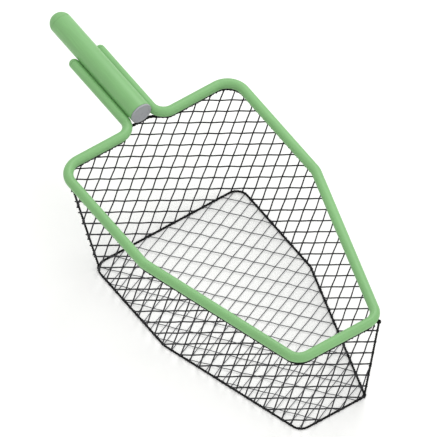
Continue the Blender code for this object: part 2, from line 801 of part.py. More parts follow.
def floor_net(material):
    """The bag's flat bottom, inside the floor rope; one crossing of its threads lies in its middle."""
    corners = floor_corners()
    middle = sum((corners[c] for c in range(6)), Vector((0, 0))) / 6
    loops = []
    for inset in (FLOOR_ROPE_RADIUS + CLEARANCE, FLOOR_ROPE_RADIUS + CLEARANCE + NET_HEM):
        inner = inset_polygon(corners, [inset] * 6)
        radii = [max(radius - inset, CLEARANCE) for radius in FLOOR_CORNER_RADII]
        loops.append([p - middle for p in rounded(inner, radii)])
    outline, field = loops
    from_edge = [90 - t for t in FLOOR_THREADS]
    gaps = net_gaps(field, from_edge)

    def place(point, offset):
        return Vector((*(middle + point), NET_THICKNESS / 2 + offset))

    shape = net_solid(outline, gaps, place)
    return make_object("net_floor", shape, material, round_piece=False), len(gaps)


def all_nets(material):
    walls = (
        ("net_back", LEFT_REAR, BACK_THREADS),
        ("net_right_rear", RIGHT_REAR, RIGHT_REAR_THREADS),
        ("net_right_front", RIGHT_MIDDLE, RIGHT_FRONT_THREADS),
        ("net_front", RIGHT_FRONT, FRONT_THREADS),
        ("net_left_front", LEFT_FRONT, LEFT_FRONT_THREADS),
        ("net_left_rear", LEFT_MIDDLE, LEFT_REAR_THREADS),
    )
    count = 0
    for name, corner, threads in walls:
        count += wall_net(name, corner, threads, material)[1]
    count += floor_net(material)[1]
    print("gaps in the netting:", count)


# Materials


def linear(channel):
    return channel / 12.92 if channel <= 0.04045 else ((channel + 0.055) / 1.055) ** 2.4


def surface(name, hex_colour, roughness, metallic=0.0):
    """A plain surface from an sRGB colour."""
    made = bpy.data.materials.new(name)
    made.use_nodes = True
    shader = made.node_tree.nodes["Principled BSDF"]
    rgb = [linear(int(hex_colour[i : i + 2], 16) / 255) for i in (0, 2, 4)]
    shader.inputs["Base Color"].default_value = (*rgb, 1)
    shader.inputs["Roughness"].default_value = roughness
    shader.inputs["Metallic"].default_value = metallic
    made.diffuse_color = (*rgb, 1)
    return made


def build():
    clear_scene()
    green = surface("green coating", "8CBF82", 0.45)
    cap_green = surface("green plastic", "84B67A", 0.50)
    grey = surface("grey plastic", "949599", 0.55)
    steel = surface("stainless steel", "B8BABD", 0.25, 1.0)
    bead = surface("black bead", "202122", 0.70)
    rope = surface("black rope", "1C1C1D", 0.90)
    netting = surface("black netting", "3A3B3D", 0.85)

    frame_hoop(green)
    leg_cap("left_leg_cap", -1, cap_green)
    leg_cap("right_leg_cap", 1, cap_green)
    handle_tube(green)
    handle_front_plug(grey)
    handle_end_cap(cap_green)
    weld_beads(green)
    snap_button(steel)
    snap_spring(steel)
    net_bead(bead)
    edge_rope("head_rope", mouth_line(), HEAD_ROPE_RADIUS, HEAD_ROPE_Z, rope)
    floor_line = rounded(floor_corners(), FLOOR_CORNER_RADII)
    edge_rope("floor_rope", floor_line, FLOOR_ROPE_RADIUS, FLOOR_ROPE_Z, rope)
    corner_rope("corner_rope_left_rear", LEFT_REAR, rope)
    corner_rope("corner_rope_right_front", RIGHT_FRONT, rope)
    stopper_knot("knot_right_front", rope)
    all_nets(netting)
    bpy.context.view_layer.update()


build()
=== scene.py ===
"""The finished look of a leaf skimmer net, in metres.

+Z is up and +Y is towards the free end of the handle stub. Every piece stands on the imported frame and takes
its place from the same sizes. Corners of the hoop run clockwise seen from above, from the left rear one.
"""

import math

import bmesh
import bpy
import numpy as np
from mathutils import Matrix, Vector


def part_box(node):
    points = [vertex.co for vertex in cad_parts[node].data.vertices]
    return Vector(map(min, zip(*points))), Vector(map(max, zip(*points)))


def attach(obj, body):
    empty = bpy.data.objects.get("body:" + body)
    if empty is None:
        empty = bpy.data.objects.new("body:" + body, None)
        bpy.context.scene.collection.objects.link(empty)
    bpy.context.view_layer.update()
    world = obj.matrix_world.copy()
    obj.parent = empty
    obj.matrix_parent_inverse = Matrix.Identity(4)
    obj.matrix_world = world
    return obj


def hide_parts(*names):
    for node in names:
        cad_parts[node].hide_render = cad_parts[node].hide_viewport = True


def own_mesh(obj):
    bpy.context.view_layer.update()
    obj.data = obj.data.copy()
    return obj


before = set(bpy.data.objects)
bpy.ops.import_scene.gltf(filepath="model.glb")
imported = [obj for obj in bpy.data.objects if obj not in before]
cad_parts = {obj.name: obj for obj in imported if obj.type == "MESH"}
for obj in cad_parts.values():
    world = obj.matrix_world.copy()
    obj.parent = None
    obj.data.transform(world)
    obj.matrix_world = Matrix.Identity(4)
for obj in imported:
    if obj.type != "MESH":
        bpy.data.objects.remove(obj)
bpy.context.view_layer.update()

bl_info = {
    "name": "Leaf Skimmer Net",
    "version": (1, 0, 0),
    "blender": (4, 5, 0),
    "location": "View3D > Sidebar > Skimmer",
    "description": "Builds a pool leaf net with a bent tube hoop, a netting bag on ropes and a handle stub",
    "category": "Add Mesh",
}

NET_BODY = "skimmer_net"
BUTTON_BODY = "lock_button"
LEFT_REAR, RIGHT_FRONT = 0, 3
# The two sides of the net, and the way along +X to each
HANDS = (("left", -1), ("right", 1))
CLEARANCE = 0.0003
# How far a cap's skin turns in towards its joint with a tube
JOINT_EASE = 0.0004
# How far the tape's flap hangs out of the hoop's slot
FLAP_OUT = 0.002
UP = np.array([0.0, 0.0, 1.0])


def linear(hex_colour):
    """An sRGB hex colour as linear red, green, blue and alpha."""
    channels = [int(hex_colour[i : i + 2], 16) / 255 for i in (0, 2, 4)]
    return tuple(c / 12.92 if c <= 0.04045 else ((c + 0.055) / 1.055) ** 2.4 for c in channels) + (1.0,)


# Sizes and colours that a user may change


def length(name, description, default):
    return bpy.props.FloatProperty(
        name=name, description=description, default=default, min=0, unit="LENGTH", precision=4
    )


def hue(name, description, hex_colour):
    return bpy.props.FloatVectorProperty(
        name=name, description=description, default=linear(hex_colour), size=4, min=0, max=1, subtype="COLOR"
    )


class SKIMMER_PG_frame(bpy.types.PropertyGroup):
    """Sizes of the hoop, the handle stub and what is fixed to them."""

    hoop_width: length("Hoop width", "Between the centrelines of the two rear sides", 0.2550)
    front_width: length("Front width", "Length of the front rail between its corners", 0.1180)
    rear_length: length("Rear length", "From the rear rail to the middle corners", 0.1780)
    taper_length: length("Taper length", "From the middle corners to the front rail", 0.2320)
    rear_radius: length("Rear corner radius", "Bend of the two rear corners", 0.0250)
    middle_radius: length("Middle corner radius", "Bend where the taper begins", 0.0250)
    front_radius: length("Front corner radius", "Bend of the two front corners", 0.0200)
    tube_diameter: length("Tube diameter", "Outside of the hoop's tube", 0.0127)
    tube_wall: length("Tube wall", "Thickness of the hoop's tube", 0.0012)
    leg_radius: length("Leg bend radius", "Bend from the rear rail into a leg", 0.0190)
    leg_reach: length("Leg reach", "From the rear rail to the tip of a leg", 0.1330)
    plug_length: length("Leg plug length", "How deep a cap's plug goes into a leg", 0.0100)
    handle_diameter: length("Handle diameter", "Outside of the stub, which fits a pool pole", 0.0286)
    handle_wall: length("Handle wall", "Thickness of the stub's tube", 0.0013)
    handle_length: length("Handle length", "Whole length of the stub with both its ends", 0.1860)
    handle_setback: length("Handle setback", "From the rear rail to the stub's front end", 0.0100)
    handle_raise: length("Handle raise", "From the legs' centrelines up to the stub's", 0.0080)
    flange: length("End flange", "Thickness of the grey end", 0.0025)
    cup_depth: length("Cup depth", "How far the grey end reaches into the stub", 0.0200)
    cup_wall: length("Cup wall", "Wall of the stub's two ends inside its tube", 0.0020)
    tip_radius: length("Tip radius", "Radius of the flat tip of the domed end", 0.0040)
    dome_depth: length("Dome depth", "How far the domed end reaches into the stub", 0.0080)
    height: length("Frame height", "From the floor to the centreline of the hoop", 0.1570)


class SKIMMER_PG_button(bpy.types.PropertyGroup):
    """Sizes of the snap button and its spring."""

    from_end: length("From end", "From the stub's free end to the button", 0.0380)
    radius: length("Radius", "Radius of the button's pin", 0.0034)
    side_clearance: length("Side clearance", "Between the pin and its hole", 0.00025)
    stands_out: length("Stands out", "How far the pin stands out of the stub", 0.0060)
    collar_radius: length("Collar radius", "Radius of the collar inside the stub", 0.0046)
    collar_height: length("Collar height", "Thickness of the collar", 0.0012)
    rounding: length("Rounding", "Rounding of the pin's nose", 0.0016)
    strip: length("Strip thickness", "Thickness of the spring strip", 0.0008)
    strip_width: length("Strip width", "Width of the spring strip", 0.0090)
    strip_reach: length("Strip reach", "From the button to the strip's bend", 0.0450)
    strip_tail: length("Strip tail", "How far the strip reaches past the button", 0.0070)
    strip_radius: length("Strip bend radius", "Bend of the spring strip", 0.0030)


class SKIMMER_PG_bag(bpy.types.PropertyGroup):
    """Sizes of the bag, its ropes and its netting."""

    rear_inset: length("Floor rear inset", "From the rear rail to the floor's rear edge", 0.0435)
    side_inset: length("Floor side inset", "From a rear side to the floor's edge", 0.0192)
    taper_inset: length("Floor taper inset", "From a tapered side to the floor's edge", 0.0137)
    front_inset: length("Floor front inset", "From the front rail to the floor's edge", 0.0110)
    rear_radius: length("Floor rear radius", "Rounding of the floor's rear corners", 0.0160)
    middle_radius: length("Floor middle radius", "Rounding of the floor's middle corners", 0.0080)
    right_front_radius: length("Floor right front radius", "Rounding of its right front corner", 0.0060)
    left_front_radius: length("Floor left front radius", "Rounding of its left front corner", 0.0150)
    tuck_depth: length("Tuck depth", "How far the top edge is tucked back under the stub", 0.0140)
    tuck_flat: length("Tuck flat", "Width of the deepest part of the tuck", 0.0200)
    head_rope: length("Head rope", "Diameter of the rope under the hoop", 0.0040)
    floor_rope: length("Floor rope", "Diameter of the rope round the floor", 0.0030)
    corner_rope: length("Corner rope", "Diameter of the two seam ropes", 0.0030)
    knot_out: length("Knot out", "How far the right seam rope's knot stands out from the head rope", 0.0060)
    rope_lay: bpy.props.FloatProperty(
        name="Rope lay", description="Diameters in one turn of a rope's strands", default=3.6, min=2, max=8
    )
    thread: length("Wall thread", "Diameter of the walls' twine", 0.0018)
    floor_thread: length("Floor thread", "Diameter of the floor's twine", 0.0011)
    bow: length("Bow", "How far the walls belly out between their ropes", 0.0030)
    stitch: length("Stitch spacing", "Between the stitches that hold the head rope to its tape", 0.0090)


class SKIMMER_PG_colours(bpy.types.PropertyGroup):
    """Colours of the finished pieces and of the floor under them."""

    coat: hue("Powder coat", "Green coat of the hoop, the stub and the welds", "89C27E")
    cap: hue("Caps", "Green plastic of the leg caps and the domed end", "89C27E")
    plug: hue("Stub end", "Grey plastic in the stub's front end", "ADAEB3")
    steel: hue("Steel", "Stainless steel of the button and its spring", "B8BABD")
    tape: hue("Tape", "Black tape in the hoop's slot", "161617")
    rope: hue("Ropes", "Black rope of the bag's edges", "0E0E0F")
    twine: hue("Wall netting", "Twine of the bag's walls", "38383B")
    floor_twine: hue("Floor netting", "Twine of the bag's floor", "77787B")
    ground: hue("Ground", "Floor that the net stands on", "F4F4F2")


# The lines that the pieces share


class Plan:
    """Places worked out from the sizes."""

    def __init__(self, scene):
        f, b, s = scene.skimmer_frame, scene.skimmer_bag, scene.skimmer_button
        self.radius = f.tube_diameter / 2
        self.bore = self.radius - f.tube_wall
        self.handle_radius = f.handle_diameter / 2
        self.handle_bore = self.handle_radius - f.handle_wall
        hoop_length = f.rear_length + f.taper_length
        handle_reach = f.handle_setback + f.handle_length
        self.rear_y = (hoop_length + self.radius - handle_reach) / 2
        self.handle_end_y = self.rear_y + handle_reach
        self.handle_start_y = self.rear_y + f.handle_setback + f.flange + CLEARANCE
        self.dome_height = math.sqrt(self.handle_radius**2 - f.tip_radius**2)
        self.dome_y = self.handle_end_y - self.dome_height
        leg_to_handle = self.handle_radius + self.radius + CLEARANCE
        self.leg_x = math.sqrt(leg_to_handle**2 - f.handle_raise**2)
        self.leg_end_y = self.rear_y + f.leg_reach - self.radius - CLEARANCE
        self.gap_half_width = self.leg_x + f.leg_radius
        self.button_y = self.handle_end_y - s.from_end
        self.z = f.height
        self.handle_z = self.z + f.handle_raise
        self.flap_foot_z = self.z - self.radius - FLAP_OUT
        self.head_rope_z = self.flap_foot_z - CLEARANCE - b.head_rope / 2
        self.floor_rope_z = b.floor_rope / 2
        half, front_half = f.hoop_width / 2, f.front_width / 2
        middle_y, front_y = self.rear_y - f.rear_length, self.rear_y - hoop_length
        right = [Vector((half, self.rear_y)), Vector((half, middle_y)), Vector((front_half, front_y))]
        left = [Vector((-p.x, p.y)) for p in right[::-1]]
        self.hoop = left[2:] + right + left[:2]
        self.radii = [f.rear_radius] * 2 + [f.middle_radius] + [f.front_radius] * 2 + [f.middle_radius]
        insets = [b.rear_inset, b.side_inset, b.taper_inset, b.front_inset, b.taper_inset, b.side_inset]
        self.floor = inset_corners(self.hoop, insets)
        self.floor_radii = [b.rear_radius, b.rear_radius, b.middle_radius]
        self.floor_radii += [b.right_front_radius, b.left_front_radius, b.middle_radius]
        self.tuck_depth, self.tuck_flat, self.knot_out = b.tuck_depth, b.tuck_flat, b.knot_out

    def tuck(self, x):
        """How far behind the rear rail the bag's top edge lies; it eases in beside the stub."""
        flat = self.tuck_flat / 2
        share = np.clip((np.abs(x) - flat) / (self.gap_half_width - flat), 0, 1)
        return self.tuck_depth * (1 + np.cos(math.pi * share)) / 2

    def mouth(self):
        """The bag's top edge: the hoop's centreline, tucked in under the stub."""
        line = rounded(self.hoop[1:] + self.hoop[:1], self.radii[1:] + self.radii[:1])
        for x in np.linspace(-self.gap_half_width, self.gap_half_width, 40):
            line.append(Vector((x, self.rear_y + self.tuck(x))))
        return line


def inward(along):
    """The bag's side of an edge that runs this way."""
    return Vector((along.y, -along.x))


def inset_corners(corners, insets):
    """The corners of a shape whose edges lie inside these corners' edges, each by its own inset."""
    found = []
    for i, corner in enumerate(corners):
        before = (corner - corners[i - 1]).normalized()
        after = (corners[(i + 1) % 6] - corner).normalized()
        start = corner + insets[i - 1] * inward(before)
        reach = (corner + insets[i] * inward(after) - start).dot(inward(after)) / before.dot(inward(after))
        found.append(start + reach * before)
    return found


def rounded(corners, radii, step=math.radians(5), closed=True):
    """The points of a line that turns each corner on an arc of its radius."""
    points = []
    for i, corner in enumerate(corners):
        if not closed and i in (0, len(corners) - 1):
            points.append(corner.copy())
            continue
        arriving = (corner - corners[i - 1]).normalized()
        leaving = (corners[(i + 1) % len(corners)] - corner).normalized()
        turn = arriving.angle_signed(leaving)
        toward = inward(arriving) * math.copysign(1, turn)
        centre = corner - radii[i] * math.tan(abs(turn) / 2) * arriving + radii[i] * toward
        count = max(2, math.ceil(abs(turn) / step))
        for n in range(count + 1):
            a = abs(turn) * n / count
            points.append(centre + radii[i] * (math.sin(a) * arriving - math.cos(a) * toward))
    return points


# Modelling by hand


def begin(primitive, name, **placing):
    """Adds a primitive with its place in its mesh, and opens it in edit mode with all of it selected."""
    bpy.ops.object.select_all(action="DESELECT")
    primitive(**placing)
    made = bpy.context.object
    made.name = made.data.name = name
    bpy.ops.object.transform_apply(location=True, rotation=True, scale=True)
    bpy.ops.object.mode_set(mode="EDIT")
    bpy.ops.mesh.select_all(action="SELECT")
    return made


def extrude(offset):
    bpy.ops.mesh.extrude_region_move(TRANSFORM_OT_translate={"value": tuple(offset)})


def follow(route, radii, step):
    """Draws the selected ring or face along a route, and spins it round each corner on its radius."""
    here = route[0]
    for i in range(1, len(route)):
        arriving = (route[i] - route[i - 1]).normalized()
        if not radii[i]:
            extrude(route[i] - here)
            here = route[i]
            continue
        leaving = (route[i + 1] - route[i]).normalized()
        turn = arriving.angle(leaving)
        axis = arriving.cross(leaving).normalized()
        start = route[i] - radii[i] * math.tan(turn / 2) * arriving
        centre = start + radii[i] * axis.cross(arriving)
        extrude(start - here)
        # Spin turns clockwise about its axis
        bpy.ops.mesh.spin(steps=math.ceil(turn / step), angle=turn, center=centre, axis=-axis)
        here = route[i] + radii[i] * math.tan(turn / 2) * leaving


def turn_up(name, profile, sides, place, facing):
    """Grows a round piece ring by ring from (radius, distance) pairs."""
    place, facing = Vector(place), Vector(facing).normalized()
    radius, along = profile[0]
    made = begin(
        bpy.ops.mesh.primitive_circle_add, name, vertices=sides, radius=radius, fill_type="TRIFAN",
        location=place + along * facing, rotation=facing.to_track_quat("Z", "Y").to_euler(),
    )
    for next_radius, next_along in profile[1:]:
        extrude((next_along - along) * facing)
        factor = next_radius / radius
        bpy.ops.transform.resize(value=(factor,) * 3, center_override=place + next_along * facing)
        radius, along = next_radius, next_along
    close_up()
    return made


def quarter(start, end, step):
    """Sines and cosines of angles in degrees, for the rounded parts of a profile."""
    count = round((end - start) / step)
    angles = [math.radians(start + (end - start) * n / count) for n in range(count + 1)]
    return [(math.sin(a), math.cos(a)) for a in angles]


def close_up():
    """Merges doubles, turns the faces outward and leaves edit mode."""
    bpy.ops.mesh.select_all(action="SELECT")
    bpy.ops.mesh.remove_doubles(threshold=1e-6)
    bpy.ops.mesh.normals_make_consistent(inside=False)
    bpy.ops.object.mode_set(mode="OBJECT")


def modify(made, kind, **settings):
    """Adds a modifier and applies it."""
    bpy.context.view_layer.objects.active = made
    modifier = made.modifiers.new(kind.title(), kind)
    for key, value in settings.items():
        setattr(modifier, key, value)
    bpy.ops.object.modifier_apply(modifier=modifier.name)


def ease(made, width, segments, degrees):
    """Rounds the edges that are sharper than an angle."""
    sharper = math.radians(degrees)
    modify(made, "BEVEL", width=width, segments=segments, limit_method="ANGLE", angle_limit=sharper)


def hand_over(made, finish, replaced, degrees=None, body=NET_BODY):
    """Shades a finished piece smooth up to an angle, and gives it its material and its place on the frame."""
    if degrees:
        bpy.ops.object.select_all(action="DESELECT")
        made.select_set(True)
        bpy.context.view_layer.objects.active = made
        bpy.ops.object.shade_smooth_by_angle(angle=math.radians(degrees))
    made.data.materials.append(material(finish))
    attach(made, body)
    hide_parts(*replaced)


# Ropes and threads, made point by point as cords are


def unit(vectors):
    return vectors / np.linalg.norm(vectors, axis=-1, keepdims=True)


def reaches(line, closed=False):
    """How far along a line each of its points lies; a closed one comes back to its first point."""
    line = np.vstack([line, line[:1]]) if closed else line
    return np.concatenate([[0], np.cumsum(np.linalg.norm(np.diff(line, axis=0), axis=1))])


def evenly(points, spacing, closed=False):
    """The line through the points, with its points evenly spaced again."""
    line = np.array(points, float)
    reach = reaches(line, closed)
    line = np.vstack([line, line[:1]]) if closed else line
    at = np.linspace(0, reach[-1], max(2, round(reach[-1] / spacing)) + 1)
    again = np.column_stack([np.interp(at, reach, axis) for axis in line.T])
    return again[:-1] if closed else again


def tangents(line, closed=False):
    return unit(np.roll(line, -1, 0) - np.roll(line, 1, 0) if closed else np.gradient(line, axis=0))


def braced(line, out, closed):
    """Two directions across a line at each of its points, the first as near as can be to a given one."""
    along = tangents(line, closed)
    side = unit(out - np.sum(out * along, axis=1, keepdims=True) * along)
    return side, np.cross(along, side)


class Skein:
    """Gathers tubes into one mesh, with U along each tube in metres and V round it."""

    def __init__(self):
        self.points, self.faces, self.uvs, self.count = [], [], [], 0

    def wrap(self, rings, reach, around, closed=False):
        """Joins rings of points, with U from how far along each ring lies and V from the places round it."""
        n, sides = rings.shape[:2]
        self.points.append(rings.reshape(-1, 3))
        i, k = np.divmod(np.arange((n if closed else n - 1) * sides), sides)
        j, m = (i + 1) % n, (k + 1) % sides
        corners = np.column_stack([i * sides + k, i * sides + m, j * sides + m, j * sides + k])
        self.faces += (self.count + corners).tolist()
        u0, u1, v0, v1 = reach[i], reach[i + 1], around[k], around[k + 1]
        self.uvs.append(np.stack([u0, v0, u0, v1, u1, v1, u1, v0], axis=1).reshape(-1, 2))
        if not closed:
            self.faces.append((self.count + np.arange(sides)[::-1]).tolist())
            self.faces.append((self.count + (n - 1) * sides + np.arange(sides)).tolist())
            self.uvs.append(np.zeros((2 * sides, 2)))
        self.count += n * sides

    def tube(self, line, out, radius, sides, closed=False):
        """A round tube along a line; V runs round it from 0 to 1."""
        side, other = braced(line, out, closed)
        angles = np.arange(sides)[:, None] * 2 * math.pi / sides
        spokes = np.cos(angles) * side[:, None] + np.sin(angles) * other[:, None]
        rings = line[:, None] + radius * spokes
        self.wrap(rings, reaches(line, closed), np.arange(sides + 1) / sides, closed)

    def laid(self, line, out, radius, lay, closed=False, strands=3, sides=7):
        """A rope of twisted strands round a line; a closed one has a whole number of turns."""
        side, other = braced(line, out, closed)
        reach = reaches(line, closed)
        turns = round(reach[-1] / lay) if closed else reach[-1] / lay
        strand = radius / (1 + 1 / math.sin(math.pi / strands))
        for n in range(strands):
            a = 2 * math.pi * (turns * reach[: len(line), None] / reach[-1] + n / strands)
            spoke = np.cos(a) * side + np.sin(a) * other
            # A strand presses flat against its neighbours, so it is drawn a little thicker than a free one
            self.tube(line + (radius - strand) * spoke, spoke, strand * 1.06, sides, closed)

    def make(self, name, sharp=70):
        mesh = bpy.data.meshes.new(name)
        mesh.from_pydata(np.vstack(self.points).tolist(), [], self.faces)
        layer = mesh.uv_layers.new(name="UVMap")
        layer.data.foreach_set("uv", np.vstack(self.uvs).astype(np.float32).ravel())
        mesh.shade_smooth()
        mesh.set_sharp_from_angle(angle=math.radians(sharp))
        made = bpy.data.objects.new(name, mesh)
        bpy.context.scene.collection.objects.link(made)
        return made


def loop(skein, place, way, across, up, thickness, slant=0.0, sides=5, steps=10):
    """A ring of thread round a rope that runs a given way through its middle; it stays above the ground."""
    side = unit(np.cross(way, UP))
    a = np.arange(steps)[:, None] * 2 * math.pi / steps
    ring = place + np.cos(a) * across * (side + slant * way) + np.sin(a) * up * np.cross(side, way)
    ring[:, 2] = np.maximum(ring[:, 2], thickness)
    skein.tube(ring, way, thickness, sides, closed=True)


def lifted(points, z):
    return [(p.x, p.y, z) for p in points]


# The bag's shape


class Bag:
    """The surface between the head rope and the floor rope, as rows of points from the top down.

    Columns run clockwise from the middle of the left rear corner, wall by wall, and the first column comes
    again at the end. The walls belly out a little between their taut ropes. The back one's top is tucked in
    under the stub, and the knotted corner is drawn out to its knot.
    """

    ROWS = 74
    ARC_COLUMNS = 12
    COLUMN = 0.0017
    # How far from a seam rope the walls reach their full slack
    SLACK_FROM = 0.05
    # Changes of the belly round the bag: share of its height, number of waves, and phase
    UNEVEN = ((0.16, 5, 0.7), (0.09, 11, 2.1))
    # Above 1, so the belly is deepest a little below the middle
    SAG = 1.15

    def __init__(self, plan, bow):
        self.plan = plan
        levels = np.linspace(0, 1, self.ROWS)
        rows, sides = zip(*(self.row(level) for level in levels))
        points, outs = np.array(rows), np.array(sides)
        spread = reaches(points[0])
        around = spread / spread[-1] * 2 * math.pi
        belly = 1 + sum(height * np.sin(waves * around + phase) for height, waves, phase in self.UNEVEN)
        starts = [0]
        for wall in range(6):
            starts.append(starts[-1] + self.wall_columns(wall))
        for roped in (0, starts[RIGHT_FRONT], -1):
            near = np.clip(np.abs(spread - spread[roped]) / self.SLACK_FROM, 0, 1)
            belly *= near**2 * (3 - 2 * near)
        profile = np.sin(math.pi * levels**self.SAG)
        self.points = points + bow * profile[:, None, None] * belly[None, :, None] * outs
        self.outs = outs
        self.starts = starts

    def wall_columns(self, wall):
        straight = (self.plan.hoop[(wall + 1) % 6] - self.plan.hoop[wall]).length
        return 2 * self.ARC_COLUMNS + round(straight / self.COLUMN)

    def row(self, level):
        """Points and outward directions of the outline, from level 0 at the head rope to 1 at the floor's."""
        corners = [a.lerp(b, level) for a, b in zip(self.plan.hoop, self.plan.floor)]
        radii = [a + level * (b - a) for a, b in zip(self.plan.radii, self.plan.floor_radii)]
        z = self.plan.head_rope_z + level * (self.plan.floor_rope_z - self.plan.head_rope_z)
        points, outs = [], []
        for wall in range(6):
            along = np.array((corners[(wall + 1) % 6] - corners[wall]).normalized())
            out = np.array([-along[1], along[0]])
            ends = []
            for c, sign in ((wall, 1), ((wall + 1) % 6, -1)):
                turn = (corners[c] - corners[c - 1]).angle(corners[(c + 1) % 6] - corners[c])
                reach = radii[c] * math.tan(turn / 2)
                tangent_point = np.array(corners[c]) + sign * reach * along
                turned = 1 - np.arange(self.ARC_COLUMNS) / self.ARC_COLUMNS
                a = turn / 2 * turned
                spoke = np.cos(a)[:, None] * out - sign * np.sin(a)[:, None] * along
                arc = tangent_point - radii[c] * out + radii[c] * spoke
                if c == RIGHT_FRONT:
                    arc += (self.plan.knot_out * (1 - level) * turned**2)[:, None] * spoke[0]
                ends.append((tangent_point, arc, spoke))
            count = self.wall_columns(wall) - 2 * self.ARC_COLUMNS
            share = np.linspace(0, 1, count + 1)[:, None]
            middle = ends[0][0] * (1 - share) + ends[1][0] * share
            if wall == 0:
                middle[:, 1] += self.plan.tuck(middle[:, 0]) * (1 - level)
            points += [ends[0][1], middle[:-1], middle[-1:], ends[1][1][::-1][:-1]]
            outs += [ends[0][2], np.repeat(out[None], count + 1, 0), ends[1][2][::-1][:-1]]
        points, outs = np.vstack(points), np.vstack(outs)
        points = np.vstack([points, points[:1]])
        outs = np.vstack([outs, outs[:1]])
        height = np.full((len(points), 1), z)
        return np.hstack([points, height]), np.hstack([outs, np.zeros((len(outs), 1))])

    def strip(self, first, last):
        """Points and outward directions of the walls from one to another."""
        columns = slice(self.starts[first], self.starts[last] + 1)
        return self.points[:, columns], self.outs[:, columns]

    def seam(self, corner):
        column = self.starts[corner]
        return self.points[:, column], self.outs[:, column]


# Operators


class SKIMMER_OT_hoop(bpy.types.Operator):
    """Bends the hoop's tube, with its slot underneath and its two legs"""

    bl_idname = "skimmer.hoop"
    bl_label = "Hoop"
    SIDES = 44
    # Rounding of the slot's and the legs' edges
    EDGE = 0.00015

    def execute(self, context):
        f, plan = context.scene.skimmer_frame, Plan(context.scene)
        legs = [Vector((plan.leg_x, plan.rear_y, plan.z)), Vector((plan.leg_x, plan.leg_end_y, plan.z))]
        made = begin(
            bpy.ops.mesh.primitive_circle_add, "hoop_tube", vertices=self.SIDES, radius=plan.radius,
            location=legs[1], rotation=(math.pi / 2, 0, 0),
        )
        # One vertex less at the foot leaves the slot, a seventh of the tube's width
        ring = bmesh.from_edit_mesh(made.data)
        foot = min(ring.verts, key=lambda v: v.co.z)
        bpy.ops.mesh.select_all(action="DESELECT")
        foot.select_set(True)
        bpy.ops.mesh.delete(type="VERT")
        bpy.ops.mesh.select_all(action="SELECT")
        hoop = [Vector((*p, plan.z)) for p in plan.hoop]
        left = [Vector((-p.x, p.y, p.z)) for p in legs]
        route = legs[::-1] + hoop[1:] + hoop[:1] + left
        radii = [0, f.leg_radius] + plan.radii[1:] + plan.radii[:1] + [f.leg_radius, 0]
        follow(route, radii, math.radians(3))
        close_up()
        modify(made, "SOLIDIFY", thickness=f.tube_wall, offset=-1, use_even_offset=True)
        ease(made, self.EDGE, 2, 60)
        hand_over(made, powder_coated_aluminium, ["frame_hoop"], 40)
        return {"FINISHED"}


class SKIMMER_OT_leg_caps(bpy.types.Operator):
    """Turns the two domed caps that close the legs"""

    bl_idname = "skimmer.leg_caps"
    bl_label = "Leg Caps"
    CHAMFER = 0.001

    def execute(self, context):
        f, plan = context.scene.skimmer_frame, Plan(context.scene)
        r, plug = plan.radius, plan.bore - CLEARANCE
        profile = [(r * across, r * up) for across, up in quarter(3, 87, 7)]
        profile += [(r, JOINT_EASE), (r - JOINT_EASE / 2, 0), (plug, 0)]
        profile += [(plug, self.CHAMFER - f.plug_length), (plug - self.CHAMFER, -f.plug_length)]
        for side_name, side in HANDS:
            place = (side * plan.leg_x, plan.leg_end_y + CLEARANCE, plan.z)
            made = turn_up(f"{side_name}_leg_dome", profile, 40, place, (0, 1, 0))
            hand_over(made, moulded_nylon, [f"{side_name}_leg_cap"], 35)
        return {"FINISHED"}


class SKIMMER_OT_handle(bpy.types.Operator):
    """Makes the handle stub, with the button's hole in its underside"""

    bl_idname = "skimmer.handle"
    bl_label = "Handle Stub"
    SIDES = 72
    # Rounding of the ends and of the hole, and where the hole's drill starts and ends below the stub's middle
    EDGE = 0.0003
    DRILL = (0.005, 0.025)

    def execute(self, context):
        f, s, plan = context.scene.skimmer_frame, context.scene.skimmer_button, Plan(context.scene)
        made = begin(
            bpy.ops.mesh.primitive_circle_add, "handle_stub", vertices=self.SIDES, radius=plan.handle_radius,
            location=(0, plan.handle_start_y, plan.handle_z), rotation=(math.pi / 2, 0, 0),
        )
        extrude((0, plan.dome_y - CLEARANCE - plan.handle_start_y, 0))
        close_up()
        modify(made, "SOLIDIFY", thickness=f.handle_wall, offset=-1, use_even_offset=True)
        hole, start = s.radius + s.side_clearance, (0, plan.button_y, plan.handle_z)
        drill = turn_up("drill", [(hole, reach) for reach in self.DRILL], 32, start, (0, 0, -1))
        modify(made, "BOOLEAN", object=drill, operation="DIFFERENCE", solver="EXACT")
        bpy.data.objects.remove(drill, do_unlink=True)
        ease(made, self.EDGE, 3, 50)
        hand_over(made, powder_coated_aluminium, ["handle_tube"], 35)
        return {"FINISHED"}


